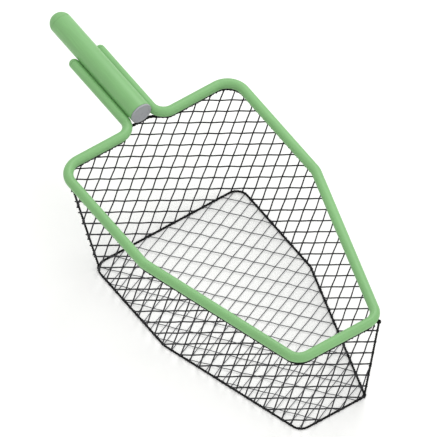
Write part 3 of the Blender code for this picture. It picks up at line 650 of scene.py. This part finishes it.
class SKIMMER_OT_stub_ends(bpy.types.Operator):
    """Turns the grey plug in the stub's front end and the green dome on its free end"""

    bl_idname = "skimmer.stub_ends"
    bl_label = "Stub Ends"
    # The plug's shallow dish with its moulding mark, its rounded rim, its back edge and its lead-in
    DISH = ((0.0012, -0.0007), (0.0016, -0.0004), (0.0104, -0.0004), (0.0109, 0))
    RIM = 0.0007
    EDGE = 0.0003
    LEAD_IN = 0.0012
    # The chamfer round the dome's flat tip, and the dome's lead-in
    TIP_EDGE = 0.0006
    DOME_LEAD_IN = 0.0010

    def execute(self, context):
        f, plan = context.scene.skimmer_frame, Plan(context.scene)
        r, cup = plan.handle_radius, plan.handle_bore - CLEARANCE
        inside = cup - f.cup_wall
        back, foot = -f.flange, -f.flange - f.cup_depth
        profile = list(self.DISH)
        profile += [(r - self.RIM * (1 - across), self.RIM * (up - 1)) for across, up in quarter(0, 90, 15)]
        profile += [(r, back + self.EDGE), (r - self.EDGE, back), (cup, back), (cup, foot + self.LEAD_IN)]
        profile += [(cup - self.LEAD_IN / 2, foot), (inside, foot), (inside, back), (0.001, back)]
        place = (0, plan.rear_y + f.handle_setback, plan.handle_z)
        made = turn_up("stub_end_plug", profile, 64, place, (0, -1, 0))
        hand_over(made, moulded_ABS, ["handle_front_plug"], 35)

        tip = math.degrees(math.asin(f.tip_radius / r))
        foot = -f.dome_depth
        profile = [(f.tip_radius - self.TIP_EDGE, plan.dome_height)]
        profile += [(r * across, r * up) for across, up in quarter(tip, 88, 5)]
        profile += [(r, JOINT_EASE), (r - JOINT_EASE / 2, 0), (cup, 0), (cup, foot + self.DOME_LEAD_IN)]
        profile += [(cup - self.DOME_LEAD_IN / 2, foot), (inside, foot)]
        profile += [(inside * across, inside * up) for across, up in quarter(4, 90, 7)[::-1]]
        made = turn_up("stub_dome", profile, 72, (0, plan.dome_y, plan.handle_z), (0, 1, 0))
        hand_over(made, moulded_nylon, ["handle_end_cap"], 35)
        return {"FINISHED"}


class SKIMMER_OT_welds(bpy.types.Operator):
    """Lays the six rippled weld beads between the legs and the stub, and the coat that bridges them"""

    bl_idname = "skimmer.welds"
    bl_label = "Welds"
    RIPPLES = 15
    # Depth of a ripple as a share of the bead's radius, and radius of the bead's ends
    RIPPLE_DEPTH = 0.085
    END_RADIUS = 0.0003
    # Radius of the bridge, and what is left of it at its ends
    BRIDGE = 0.0009
    TAPER = 0.4

    def execute(self, context):
        for name in sorted(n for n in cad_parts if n.startswith("weld_")):
            low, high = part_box(name)
            centre, half = (Vector(low) + Vector(high)) / 2, (high[1] - low[1]) / 2
            radius = (high[0] - low[0]) / 2 + CLEARANCE
            profile = []
            for n, share in enumerate(np.linspace(-1, 1, self.RIPPLES * 4 + 1).tolist()):
                swell = math.sqrt(1 - abs(share) ** 7)
                ripple = 1 - self.RIPPLE_DEPTH * (1 - n % 4 / 4)
                profile.append((max(radius * swell * ripple, self.END_RADIUS), share * half))
            made = turn_up(f"{name}_bead", profile, 20, centre, (0, 1, 0))
            hand_over(made, powder_coated_aluminium, [name], 60)

        plan = Plan(context.scene)
        share = (plan.handle_radius + CLEARANCE / 2) / (plan.handle_radius + plan.radius + CLEARANCE)
        start = plan.rear_y + context.scene.skimmer_frame.leg_radius
        end, r = plan.leg_end_y - start, self.BRIDGE
        profile = [(r * self.TAPER, 0), (r, r), (r, end - r), (r * self.TAPER, end)]
        for side_name, side in HANDS:
            place = (side * plan.leg_x * share, start, plan.handle_z - (plan.handle_z - plan.z) * share)
            made = turn_up(f"coat_bridge_{side_name}", profile, 12, place, (0, 1, 0))
            hand_over(made, powder_coated_aluminium, [], 60)
        return {"FINISHED"}


class SKIMMER_OT_button(bpy.types.Operator):
    """Turns the snap button and bends its spring strip"""

    bl_idname = "skimmer.button"
    bl_label = "Snap Button"
    # Chamfer of the collar, radius of the nose's last ring, and rounding of the strip's edges
    COLLAR_EDGE = 0.0003
    NOSE = 0.0002
    EDGE = 0.00015

    def execute(self, context):
        s, plan = context.scene.skimmer_button, Plan(context.scene)
        wall = plan.handle_radius - plan.handle_bore
        collar_foot = plan.handle_bore - math.sqrt(plan.handle_bore**2 - s.collar_radius**2) + CLEARANCE
        shoulder = -wall - collar_foot
        nose = s.stands_out - s.rounding
        flat = s.radius - s.rounding
        tip = [(flat + s.rounding * up, nose + s.rounding * across) for across, up in quarter(0, 90, 10)]
        top = shoulder - s.collar_height
        collar, edge = s.collar_radius, self.COLLAR_EDGE
        profile = [(collar - edge, top), (collar, top + edge), (collar, shoulder - edge)]
        profile += [(collar - edge, shoulder), (s.radius, shoulder)] + tip + [(self.NOSE, s.stands_out)]
        place = (0, plan.button_y, plan.handle_z - plan.handle_radius)
        made = turn_up("button_pin", profile, 40, place, (0, 0, -1))
        hand_over(made, rolled_stainless_steel, ["snap_button"], 35, BUTTON_BODY)

        half = s.strip / 2
        lower = plan.handle_z + collar_foot + s.collar_height + CLEARANCE + half - plan.handle_bore
        roof = math.sqrt(plan.handle_bore**2 - (s.strip_width / 2) ** 2)
        upper = plan.handle_z + roof - CLEARANCE - s.strip
        tail, bend = plan.button_y + s.strip_tail, plan.button_y - s.strip_reach
        route = [Vector((0, tail, lower)), Vector((0, bend, lower)), Vector((0, tail, upper))]
        strip = begin(
            bpy.ops.mesh.primitive_plane_add, "spring_strip", size=s.strip_width,
            location=route[0], rotation=(math.pi / 2, 0, 0),
        )
        bpy.ops.transform.resize(value=(1, 1, s.strip / s.strip_width), center_override=route[0])
        follow(route, [0, s.strip_radius, 0], math.radians(8))
        close_up()
        ease(strip, self.EDGE, 2, 50)
        hand_over(strip, rolled_stainless_steel, ["snap_spring"], 35)
        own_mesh(strip)
        return {"FINISHED"}


class SKIMMER_OT_tape(bpy.types.Operator):
    """Lays the tape whose bead fills the hoop's slot, and sews the head rope to it"""

    bl_idname = "skimmer.tape"
    bl_label = "Tape and Stitches"
    # Thickness of the flap, radius of the bead, chamfer of the flap's foot, and spacing of the tape's rings
    THICKNESS = 0.0012
    BEAD = 0.0020
    EDGE = 0.0002
    STEP = 0.003
    # How far from the leg bends the tape stops, and how much farther the stitches do
    PAST_LEG_BEND = 0.002
    PAST_TAPE_END = 0.003
    # So far in front of the rear rail the rope is sewn whatever its place across
    SEWN_FROM = 0.01
    # Thickness, gap to the rope, reach up and slant of a stitch, and how far its middle lies over the rope's
    STITCH = 0.00035
    GAP = 0.0002
    UP_REACH = 0.0033
    SLANT = 0.35
    OVER_ROPE = 0.0004

    def execute(self, context):
        b, plan = context.scene.skimmer_bag, Plan(context.scene)
        half, foot = self.THICKNESS / 2, plan.flap_foot_z - plan.z
        centre = -(plan.bore - CLEARANCE - self.BEAD)
        edge = math.asin(half / self.BEAD)
        turns = np.linspace(2 * math.pi - edge, edge, 17)
        section = [(self.BEAD * math.sin(a), centre - self.BEAD * math.cos(a)) for a in turns]
        section += [(half, foot + self.EDGE), (half - self.EDGE, foot)]
        section += [(self.EDGE - half, foot), (-half, foot + self.EDGE)]
        end = Vector((plan.gap_half_width + self.PAST_LEG_BEND, plan.rear_y))
        route = [end] + plan.hoop[1:] + plan.hoop[:1] + [Vector((-end.x, end.y))]
        line = rounded(route, [0] + plan.radii[1:] + plan.radii[:1] + [0], closed=False)
        line = evenly(lifted(line, plan.z), self.STEP)
        section = np.array(section)
        across, up = section.T[:, None, :, None]
        side = np.cross(tangents(line), UP)
        tape = Skein()
        tape.wrap(line[:, None] + across * side[:, None] + up * UP, reaches(line), reaches(section, True))
        hand_over(tape.make("slot_tape", 40), woven_polyester_tape, ["net_bead"])

        sewn = evenly(lifted(plan.mouth(), plan.head_rope_z + self.OVER_ROPE), b.stitch, True)
        stitches, across = Skein(), b.head_rope / 2 + self.GAP
        for place, way in zip(sewn, tangents(sewn, True)):
            if abs(place[0]) > end.x + self.PAST_TAPE_END or place[1] < plan.rear_y - self.SEWN_FROM:
                loop(stitches, place, way, across, self.UP_REACH, self.STITCH, self.SLANT)
        hand_over(stitches.make("tape_stitches"), dark_polyester_twine, [])
        return {"FINISHED"}


class SKIMMER_OT_ropes(bpy.types.Operator):
    """Lays the head rope, the floor rope, and the two seam ropes with their lashings and knot"""

    bl_idname = "skimmer.ropes"
    bl_label = "Ropes and Knots"
    # Radii of the knot's strand and of the twine that lashes the seam ropes
    KNOT_STRAND = 0.00115
    LASHING = 0.00035
    # How far a seam rope stops before the middle of the rope that it meets
    SHORT = 0.001
    # Between the points of a rope, in its diameters, and between the turns of a lashing, in its radii
    STEP = 0.32
    TURN_SPACING = 2.2

    def execute(self, context):
        b, plan = context.scene.skimmer_bag, Plan(context.scene)
        self.lay("head_rope_laid", "head_rope", lifted(plan.mouth(), plan.head_rope_z), UP, b.head_rope, True)
        floor_line = lifted(rounded(plan.floor, plan.floor_radii), plan.floor_rope_z)
        self.lay("floor_rope_laid", "floor_rope", floor_line, UP, b.floor_rope, True)
        bag = Bag(plan, b.bow)
        lashings = Skein()
        for corner, where in ((LEFT_REAR, "left_rear"), (RIGHT_FRONT, "right_front")):
            seam, outs = bag.seam(corner)
            out, line = outs[0], seam[seam[:, 2] < plan.head_rope_z - self.SHORT]
            if corner == RIGHT_FRONT:
                low, high = np.array(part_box("knot_right_front"))
                knot = Skein()
                knot.tube(*overhand(low, high, out, self.KNOT_STRAND), self.KNOT_STRAND, 9, closed=True)
                hand_over(knot.make("rope_knot"), laid_polypropylene_rope, ["knot_right_front"])
                line = np.vstack([(low + high) / 2, line])
            else:
                self.lash(lashings, seam[0], out, b.head_rope)
            self.lash(lashings, seam[-1], out, b.floor_rope)
            line = line[line[:, 2] > plan.floor_rope_z + self.SHORT]
            self.lay(f"seam_rope_{where}", f"corner_rope_{where}", line, out, b.corner_rope, False)
        hand_over(lashings.make("seam_lashings"), dark_polyester_twine, [])
        return {"FINISHED"}

    def lay(self, name, node, points, out, diameter, closed):
        """Lays one rope through the points, in place of a node."""
        lay = bpy.context.scene.skimmer_bag.rope_lay * diameter
        rope = Skein()
        rope.laid(evenly(points, diameter * self.STEP, closed), out, diameter / 2, lay, closed)
        hand_over(rope.make(name), laid_polypropylene_rope, [node])

    def lash(self, lashings, place, out, rope):
        """Winds seven turns of twine round a rope where a seam rope meets it."""
        way, reach = np.cross(UP, out), rope / 2 + self.LASHING
        for n in range(-3, 4):
            turn = place + self.TURN_SPACING * n * self.LASHING * way
            loop(lashings, turn, way, reach, reach, self.LASHING, sides=7, steps=20)


def overhand(low, high, out, radius):
    """The closed line of a three-lobed knot that fills a box, and directions across it."""
    centre, half = (low + high) / 2, (high - low) / 2 - radius
    t = np.arange(60) * 2 * math.pi / 60
    flat = np.column_stack([np.sin(t) + 2 * np.sin(2 * t), np.cos(t) - 2 * np.cos(2 * t), -np.sin(3 * t)])
    flat /= np.abs(flat).max(axis=0)
    side = unit(np.cross(UP, out))
    # The small share of out keeps every direction across the line from vanishing
    line = centre + flat[:, :1] * half[0] * side + flat[:, 1:2] * half[2] * UP + flat[:, 2:] * half[1] * out
    return line, line - centre + out * 0.0001


class SKIMMER_OT_netting(bpy.types.Operator):
    """Weaves the walls and the floor of the bag, and hitches every thread to its ropes"""

    bl_idname = "skimmer.netting"
    bl_label = "Netting"

    # Each family of threads lies in planes that the camera sees edge on: spacing, lean in the picture, shift
    WALL_FAMILIES = ((0.01346, 0.70, 0.688), (0.01296, 69.3, 0.478))
    FLOOR_FAMILIES = ((0.01682, -13.63, 0.607), (0.01203, 51.58, 0.167))
    # Between the points of the floor's outline and of its threads
    OUTLINE_STEP = 0.0015
    STEP = 0.002
    # How high the floor's threads ripple, and how far from their ropes they do so in full
    RIPPLE = 0.0006
    RIPPLE_FROM = 0.012
    # Gap between a floor thread's hitch and its rope, and the hitch's thickness as a share of the thread's
    HITCH_CLEAR = 0.0001
    HITCH_SHARE = 0.8

    def execute(self, context):
        b, plan = context.scene.skimmer_bag, Plan(context.scene)
        bag = Bag(plan, b.bow)
        hitches = Skein()
        strips = (
            ("netting_back_and_right", 0, 3, ["net_back", "net_right_rear", "net_right_front"]),
            ("netting_front_and_left", 3, 6, ["net_front", "net_left_front", "net_left_rear"]),
        )
        across, along = (self.planes(*family) for family in self.WALL_FAMILIES)
        radii = (b.corner_rope / 2, b.corner_rope / 2, b.head_rope / 2, b.floor_rope / 2)
        for name, first, last, nodes in strips:
            points, outs = bag.strip(first, last)
            net = Skein()
            # At a strip's two ends the outline turns along the threads, and the count mustn't turn back there
            count = along(points)
            rise = math.copysign(1, count[0, -1] - count[0, 0])
            fields = across(points), rise * np.maximum.accumulate(rise * count, axis=1)
            weave(net, hitches, points, outs, fields, b.thread / 2, 1, radii)
            turned = points.swapaxes(0, 1), outs.swapaxes(0, 1), (fields[1].T, fields[0].T)
            weave(net, hitches, *turned, b.thread / 2, -1, radii[2:] + radii[:2])
            hand_over(net.make(name), dark_polyester_twine, nodes)
        net = Skein()
        self.floor(net, hitches, plan, b)
        hand_over(net.make("netting_floor"), pale_polyester_twine, ["net_floor"])
        hand_over(hitches.make("netting_hitches"), dark_polyester_twine, [])
        return {"FINISHED"}

    def planes(self, spacing, lean, shift):
        """A function that counts, at given points, the planes of a family of threads."""
        a = math.radians(lean)
        normal = math.sin(a) * np.array(CAMERA_RIGHT) - math.cos(a) * np.array(CAMERA_UP)
        return lambda points: (points - np.array(CAMERA_TARGET)) @ normal / spacing + shift

    def floor(self, net, hitches, plan, b):
        """Draws the floor's threads straight from rope to rope."""
        outline = lifted(rounded(plan.floor, plan.floor_radii), plan.floor_rope_z)
        outline = evenly(outline, self.OUTLINE_STEP, True)
        ways = tangents(outline, True)
        families = [self.planes(*family) for family in self.FLOOR_FAMILIES]
        for number, (count, other) in enumerate((families, families[::-1])):
            field = count(outline)
            after = np.roll(field, -1)
            for k in range(math.ceil(field.min()), math.floor(field.max()) + 1):
                found = np.nonzero((field - k) * (after - k) < 0)[0]
                if len(found) != 2:
                    continue
                share = ((k - field[found]) / (after[found] - field[found]))[:, None]
                ends = outline[found] * (1 - share) + np.roll(outline, -1, 0)[found] * share
                span = np.linalg.norm(ends[1] - ends[0])
                if span < 2 * b.floor_rope:
                    continue
                steps = max(3, round(span / self.STEP))
                line = ends[0] + np.linspace(0, 1, steps + 1)[:, None] * (ends[1] - ends[0])
                phase = other(line) + k
                from_rope = np.minimum(np.arange(steps + 1), np.arange(steps, -1, -1)) * span / steps
                fade = np.clip(from_rope / self.RIPPLE_FROM, 0, 1)
                # Waves of about 100 and 150 mm
                ripple = self.RIPPLE * (1 + np.sin(line[:, 0] * 61 + 1) * np.sin(line[:, 1] * 43 + 2))
                over = (1 - 2 * number) * OVER * b.floor_thread * np.cos(math.pi * phase)
                line[:, 2] += (ripple + over) * fade
                net.tube(line, UP, b.floor_thread / 2, 6)
                for end, index in zip(ends, found):
                    reach = b.floor_rope / 2 + self.HITCH_CLEAR
                    loop(hitches, end, ways[index], reach, reach, b.floor_thread / 2 * self.HITCH_SHARE)


# In a thread's radii: how far it rides over its crossings, its hitch's radius and the hitch's gap to its rope
OVER, HITCH, HITCH_GAP = 0.4, 0.45, 0.1
# Points of a thread that are nearer to the last one are left out
SHORTEST_STEP = 0.0002


def weave(net, hitches, points, outs, fields, radius, side, rope_radii):
    """Draws the threads on which the first field of the surface takes whole numbers.

    That field rises or falls all the way down each column. A thread rides over its crossings and under them
    in turn, as told by the second field, and ends on a rope, where it gets a hitch. The ropes run down the
    first and the last column, and along the first and the last row.
    """
    field, other = fields
    first_column, last_column, first_row, last_row = rope_radii
    rows, columns = field.shape
    at = np.arange(columns)
    for k in range(math.ceil(field.min()), math.floor(field.max()) + 1):
        crosses = (field[:-1] - k) * (field[1:] - k) <= 0
        valid = crosses.any(axis=0)
        row = crosses.argmax(axis=0)
        low, high = field[row, at], field[row + 1, at]
        share = ((k - low) / np.where(high == low, 1, high - low))[:, None]
        line = points[row, at] * (1 - share) + points[row + 1, at] * share
        out = outs[row, at] * (1 - share) + outs[row + 1, at] * share
        phase = other[row, at] * (1 - share[:, 0]) + other[row + 1, at] * share[:, 0]
        over = side * OVER * radius * np.cos(math.pi * (phase + k))
        edges = np.flatnonzero(np.diff(np.concatenate([[0], valid.astype(int), [0]])))
        for start, stop in zip(edges[::2], edges[1::2]):
            if stop - start < 3:
                continue
            run = line[start:stop] + over[start:stop, None] * out[start:stop]
            run_out = out[start:stop]
            for at_start, column, beyond in ((True, start, start - 1), (False, stop - 1, stop)):
                if 0 <= beyond < columns:
                    edge_row, rope = 0, first_row
                    if (field[0, column] - k) * (field[0, beyond] - k) > 0:
                        edge_row, rope = rows - 1, last_row
                    near, far = field[edge_row, column], field[edge_row, beyond]
                    part = min(max((k - near) / (far - near), 0), 1) if far != near else 0
                    end = points[edge_row, column] * (1 - part) + points[edge_row, beyond] * part
                    way = points[edge_row, beyond] - points[edge_row, column]
                    if at_start:
                        run, run_out = np.vstack([end, run]), np.vstack([run_out[:1], run_out])
                    else:
                        run, run_out = np.vstack([run, end]), np.vstack([run_out, run_out[-1:]])
                else:
                    end, rope = line[column], first_column if at_start else last_column
                    way = points[row[column] + 1, column] - points[row[column], column]
                reach = rope + HITCH_GAP * radius
                loop(hitches, end, unit(way), reach, reach, radius * HITCH)
            steps = np.linalg.norm(np.diff(run, axis=0), axis=1)
            kept = np.concatenate([[True], steps > SHORTEST_STEP])
            if kept.sum() > 2:
                net.tube(run[kept], run_out[kept], radius, 6)


class SKIMMER_OT_stage(bpy.types.Operator):
    """Sets the pale floor, the soft lights and the camera"""

    bl_idname = "skimmer.stage"
    bl_label = "Stage"
    GROUND_SIZE = 12
    # Strength of the world's light; the eye itself sees plain white there
    SKY = 0.62
    # Name, place, size in metres and power in watts
    LAMPS = (
        ("key", (1.1, 0.6, 1.7), 1.3, 14.0),
        ("fill", (-1.2, -1.0, 1.3), 1.6, 3.0),
        ("front", (0.5, -1.7, 1.2), 1.4, 5.0),
    )

    def execute(self, context):
        scene = context.scene
        bpy.ops.object.select_all(action="DESELECT")
        bpy.ops.mesh.primitive_plane_add(size=self.GROUND_SIZE)
        ground = context.object
        ground.name = "ground"
        ground.data.materials.append(material(matt_white_paint))

        world = bpy.data.worlds.new("soft studio")
        world.use_nodes = True
        tree = world.node_tree
        tree.nodes.clear()
        plain = add(tree, "Background", {"Color": linear("FFFFFF"), "Strength": 1.0})
        light = add(tree, "Background", {"Color": linear("FFFFFF"), "Strength": self.SKY})
        mix = add(tree, "MixShader", {0: seen_ray(tree), 1: light[0], 2: plain[0]})[0]
        add(tree, "OutputWorld", {"Surface": mix})
        scene.world = world

        for name, place, size, power in self.LAMPS:
            data = bpy.data.lights.new(name, "AREA")
            data.shape, data.size, data.energy = "DISK", size, power
            self.stand(data, place)
        data = bpy.data.cameras.new("camera")
        data.type, data.ortho_scale = "ORTHO", PICTURE_HEIGHT
        scene.camera = self.stand(data, Vector(CAMERA_TARGET) + 2 * Vector(CAMERA_AWAY))
        scene.view_settings.view_transform = "Standard"
        return {"FINISHED"}

    def stand(self, data, place):
        """Puts a lamp or a camera in its place, facing the net."""
        made = bpy.data.objects.new(data.name, data)
        made.location = place
        made.rotation_euler = (made.location - Vector(CAMERA_TARGET)).to_track_quat("Z", "Y").to_euler()
        bpy.context.scene.collection.objects.link(made)
        return made


# The drawing is a parallel projection: its height in metres, the point at its middle, and the way to the eye
PICTURE_HEIGHT = 0.5318
CAMERA_TARGET = (-0.0159, -0.0595, 0.1570)
CAMERA_AZIMUTH = math.radians(-34.65)
CAMERA_ELEVATION = math.radians(51.1)
CAMERA_AWAY = (
    math.sin(CAMERA_AZIMUTH) * math.cos(CAMERA_ELEVATION),
    -math.cos(CAMERA_AZIMUTH) * math.cos(CAMERA_ELEVATION),
    math.sin(CAMERA_ELEVATION),
)
CAMERA_RIGHT = tuple(Vector((0, 0, 1)).cross(Vector(CAMERA_AWAY)).normalized())
CAMERA_UP = tuple(Vector(CAMERA_AWAY).cross(Vector(CAMERA_RIGHT)))


# Materials

# What the ground adds to its own light, to the eye alone, so that it shows as white
GROUND_GLOW = 0.31


def feed(tree, node, inputs):
    """Gives each input of a node a value, or links it to a socket."""
    for key, value in inputs.items():
        if isinstance(value, bpy.types.NodeSocket):
            tree.links.new(value, node.inputs[key])
        else:
            node.inputs[key].default_value = value


def add(tree, kind, inputs=None, **settings):
    """Adds a shader node with its settings and inputs, and gives its outputs."""
    made = tree.nodes.new("ShaderNode" + kind)
    for key, value in settings.items():
        setattr(made, key, value)
    feed(tree, made, inputs or {})
    return made.outputs


def seen_ray(tree):
    """1 on rays that show a surface to the eye, directly or in a gloss, and 0 on those that carry light."""
    rays = add(tree, "LightPath")
    seen = rays["Is Camera Ray"]
    for name in ("Is Glossy Ray", "Is Transmission Ray"):
        seen = add(tree, "Math", {0: seen, 1: rays[name]}, operation="MAXIMUM")[0]
    return seen


def material(finish):
    """The material that a finish describes, named after it; its pieces share one."""
    name = finish.__name__.replace("_", " ")
    if name not in bpy.data.materials:
        made = bpy.data.materials.new(name)
        made.use_nodes = True
        finish(made.node_tree, made.node_tree.nodes["Principled BSDF"], bpy.context.scene.skimmer_colours)
    return bpy.data.materials[name]


def dress(tree, shader, colour, tone, height, depth, inputs):
    """Lightens a colour by a tone around 1, raises the surface by a height, and feeds the other inputs."""
    tinted = add(tree, "HueSaturation", {"Value": tone, "Color": tuple(colour)})[0]
    bump = add(tree, "Bump", {"Height": height, "Strength": 0.5, "Distance": depth})[0]
    feed(tree, shader, {"Base Color": tinted, "Normal": bump, **inputs})


def powder_coated_aluminium(tree, shader, colours):
    """A baked, slightly wavy skin with broad soft highlights, rubbed duller where a pole slides over it."""
    where = add(tree, "TexCoord")["Object"]
    # The coat's tone drifts over about 70 mm
    drift = add(tree, "TexNoise", {"Vector": where, "Scale": 14.0, "Detail": 3.0})["Fac"]
    # Orange peel of about 1.5 mm
    peel = add(tree, "TexNoise", {"Vector": where, "Scale": 1 / 0.0015, "Detail": 2.0})["Fac"]
    # Scuffs 1.2 mm wide and 30 mm long; real ones are hairlines
    lengthwise = (1 / 0.0012, 1 / 0.03, 1 / 0.0012)
    stretched = add(tree, "Mapping", {"Vector": where, "Scale": lengthwise})[0]
    scuff = add(tree, "TexNoise", {"Vector": stretched, "Scale": 1.0, "Detail": 2.0})["Fac"]
    rubbed = add(tree, "MapRange", {"Value": scuff, "From Min": 0.52, "From Max": 0.7})[0]
    # The pole covers the stub behind the legs
    y = add(tree, "SeparateXYZ", {"Vector": where})["Y"]
    pole = {"Value": y, "From Min": 0.22, "From Max": 0.25, "To Min": 0.4, "To Max": 1.0}
    pole = add(tree, "MapRange", pole)[0]
    rubbed = add(tree, "Math", {0: rubbed, 1: pole}, operation="MULTIPLY")[0]
    tone = {"Value": drift, "From Min": 0.3, "From Max": 0.7, "To Min": 0.95, "To Max": 1.03}
    tone = add(tree, "MapRange", tone)[0]
    tone = add(tree, "Math", {0: rubbed, 1: 0.14, 2: tone}, operation="MULTIPLY_ADD")[0]
    matt = add(tree, "MapRange", {"Value": drift, "To Min": 0.36, "To Max": 0.5})[0]
    matt = add(tree, "Math", {0: rubbed, 1: 0.25, 2: matt}, operation="MULTIPLY_ADD")[0]
    height = add(tree, "Math", {0: rubbed, 1: -0.5, 2: peel}, operation="MULTIPLY_ADD")[0]
    dress(tree, shader, colours.coat, tone, height, 0.00005, {"IOR": 1.5, "Roughness": matt})


def moulded(tree, shader, colour, grain_size, depth, ior):
    """Moulded plastic: the grain of a spark-eroded mould, and slow changes of tone and gloss from flow."""
    where = add(tree, "TexCoord")["Object"]
    grain = add(tree, "TexNoise", {"Vector": where, "Scale": 1 / grain_size, "Detail": 3.0})["Fac"]
    # The flow changes over about 12 mm
    flow = add(tree, "TexNoise", {"Vector": where, "Scale": 1 / 0.012})["Fac"]
    both = add(tree, "Math", {0: grain, 1: flow}, operation="ADD")[0]
    tone = {"Value": both, "From Min": 0.6, "From Max": 1.4, "To Min": 0.93, "To Max": 1.05}
    tone = add(tree, "MapRange", tone)[0]
    matt = add(tree, "MapRange", {"Value": both, "From Max": 2.0, "To Min": 0.42, "To Max": 0.64})[0]
    dress(tree, shader, colour, tone, grain, depth, {"IOR": ior, "Roughness": matt})


def moulded_nylon(tree, shader, colours):
    """A little duller than the coat, with a fine grain."""
    moulded(tree, shader, colours.cap, 0.0006, 0.00004, 1.53)


def moulded_ABS(tree, shader, colours):
    """An even grey with a matt, coarser face."""
    moulded(tree, shader, colours.plug, 0.0007, 0.00005, 1.52)


def rolled_stainless_steel(tree, shader, colours):
    """Fine scratches along the roll, which stretch its highlights."""
    where = add(tree, "TexCoord")["Object"]
    lengthwise = (1 / 0.0004, 1 / 0.006, 1 / 0.0004)
    stretched = add(tree, "Mapping", {"Vector": where, "Scale": lengthwise})[0]
    lines = add(tree, "TexNoise", {"Vector": stretched, "Scale": 1.0, "Detail": 2.0})["Fac"]
    matt = add(tree, "MapRange", {"Value": lines, "To Min": 0.22, "To Max": 0.4})[0]
    tone = add(tree, "MapRange", {"Value": lines, "To Min": 0.94, "To Max": 1.04})[0]
    dress(tree, shader, colours.steel, tone, lines, 0.000015, {"Metallic": 1.0, "Roughness": matt})


def woven_polyester_tape(tree, shader, colours):
    """A tight plain weave that looks flat and dull from afar."""
    where = add(tree, "TexCoord")["UV"]
    # Threads of 0.75 mm both ways: at scale 1 a wave is 0.314 long
    weave_wave = {"Vector": where, "Scale": 1 / 0.0024}
    warp = add(tree, "TexWave", weave_wave, bands_direction="X")["Fac"]
    weft = add(tree, "TexWave", weave_wave, bands_direction="Y")["Fac"]
    height = add(tree, "Math", {0: warp, 1: weft}, operation="MULTIPLY")[0]
    # The tone follows the weave's height: painted shade in its hollows and painted light on its crests
    tone = add(tree, "MapRange", {"Value": height, "To Min": 0.7, "To Max": 1.2})[0]
    dress(tree, shader, colours.tape, tone, height, 0.00024, {"Roughness": 0.85, "Sheen Weight": 0.2})


def twisted(tree, shader, colour, lay, yarns, depth):
    """Yarns wound round a strand, from U in metres and V round the strand: the grooves are painted darker as
    their shade, and the raised backs are painted lighter as their light.
    """
    where = add(tree, "TexCoord")["UV"]
    u, v, _ = add(tree, "SeparateXYZ", {"Vector": where})
    along = add(tree, "Math", {0: u, 1: 2 * math.pi / lay}, operation="MULTIPLY")[0]
    angle = add(tree, "Math", {0: v, 1: 2 * math.pi * yarns, 2: along}, operation="MULTIPLY_ADD")[0]
    wave = add(tree, "Math", {0: angle}, operation="SINE")[0]
    # Fibres 3 mm long
    drawn = add(tree, "Mapping", {"Vector": where, "Scale": (1 / 0.003, 6.0, 1.0)})[0]
    fibre = add(tree, "TexNoise", {"Vector": drawn, "Scale": 1.0, "Detail": 3.0})["Fac"]
    height = add(tree, "Math", {0: fibre, 1: 0.6, 2: wave}, operation="MULTIPLY_ADD")[0]
    # The tone follows the height: painted shade in the grooves between the yarns, painted light on their
    # raised backs, and random tone from the fibres
    tone = {"Value": height, "From Min": -1.0, "From Max": 1.6, "To Min": 0.72, "To Max": 1.18}
    tone = add(tree, "MapRange", tone)[0]
    dress(tree, shader, colour, tone, height, depth, {"Roughness": 0.85, "Specular IOR Level": 0.25})


def laid_polypropylene_rope(tree, shader, colours):
    """Three twisted strands, each wound from slightly shiny fibres."""
    twisted(tree, shader, colours.rope, 0.004, 4, 0.0002)


def dark_polyester_twine(tree, shader, colours):
    """Two plies dyed nearly black, with a dull surface."""
    twisted(tree, shader, colours.twine, 0.0032, 2, 0.00014)


def pale_polyester_twine(tree, shader, colours):
    """The same twine undyed: the floor is netted from paler stock."""
    twisted(tree, shader, colours.floor_twine, 0.0032, 2, 0.00014)


def matt_white_paint(tree, shader, colours):
    """It shows as plain white and keeps the soft shadow of the net."""
    glow = add(tree, "Math", {0: seen_ray(tree), 1: GROUND_GLOW}, operation="MULTIPLY")[0]
    feed(tree, shader, {"Emission Strength": glow, "Emission Color": linear("FFFFFF")})
    feed(tree, shader, {"Base Color": tuple(colours.ground), "Roughness": 0.9, "Specular IOR Level": 0.1})


# The add-on


class SKIMMER_PT_panel(bpy.types.Panel):
    """Lists the pieces of the leaf skimmer net"""

    bl_idname = "SKIMMER_PT_panel"
    bl_label = "Leaf Skimmer Net"
    bl_space_type = "VIEW_3D"
    bl_region_type = "UI"
    bl_category = "Skimmer"

    def draw(self, context):
        for kind in OPERATORS:
            self.layout.operator(kind.bl_idname)
        for group in GROUPS:
            box = self.layout.box()
            box.label(text=group.removeprefix("skimmer_").title())
            values = getattr(context.scene, group)
            for key in values.bl_rna.properties.keys():
                if key not in ("rna_type", "name"):
                    box.prop(values, key)


GROUPS = {
    "skimmer_frame": SKIMMER_PG_frame,
    "skimmer_button": SKIMMER_PG_button,
    "skimmer_bag": SKIMMER_PG_bag,
    "skimmer_colours": SKIMMER_PG_colours,
}
OPERATORS = (
    SKIMMER_OT_stage,
    SKIMMER_OT_hoop,
    SKIMMER_OT_leg_caps,
    SKIMMER_OT_handle,
    SKIMMER_OT_stub_ends,
    SKIMMER_OT_welds,
    SKIMMER_OT_button,
    SKIMMER_OT_tape,
    SKIMMER_OT_ropes,
    SKIMMER_OT_netting,
)


def register():
    for kind in (*GROUPS.values(), *OPERATORS, SKIMMER_PT_panel):
        bpy.utils.register_class(kind)
    for name, group in GROUPS.items():
        setattr(bpy.types.Scene, name, bpy.props.PointerProperty(type=group))


def unregister():
    for name in GROUPS:
        delattr(bpy.types.Scene, name)
    for kind in (SKIMMER_PT_panel, *OPERATORS[::-1], *GROUPS.values()):
        bpy.utils.unregister_class(kind)


def main():
    register()
    for kind in OPERATORS:
        getattr(bpy.ops.skimmer, kind.bl_idname.removeprefix("skimmer."))()


if __name__ == "__main__":
    main()
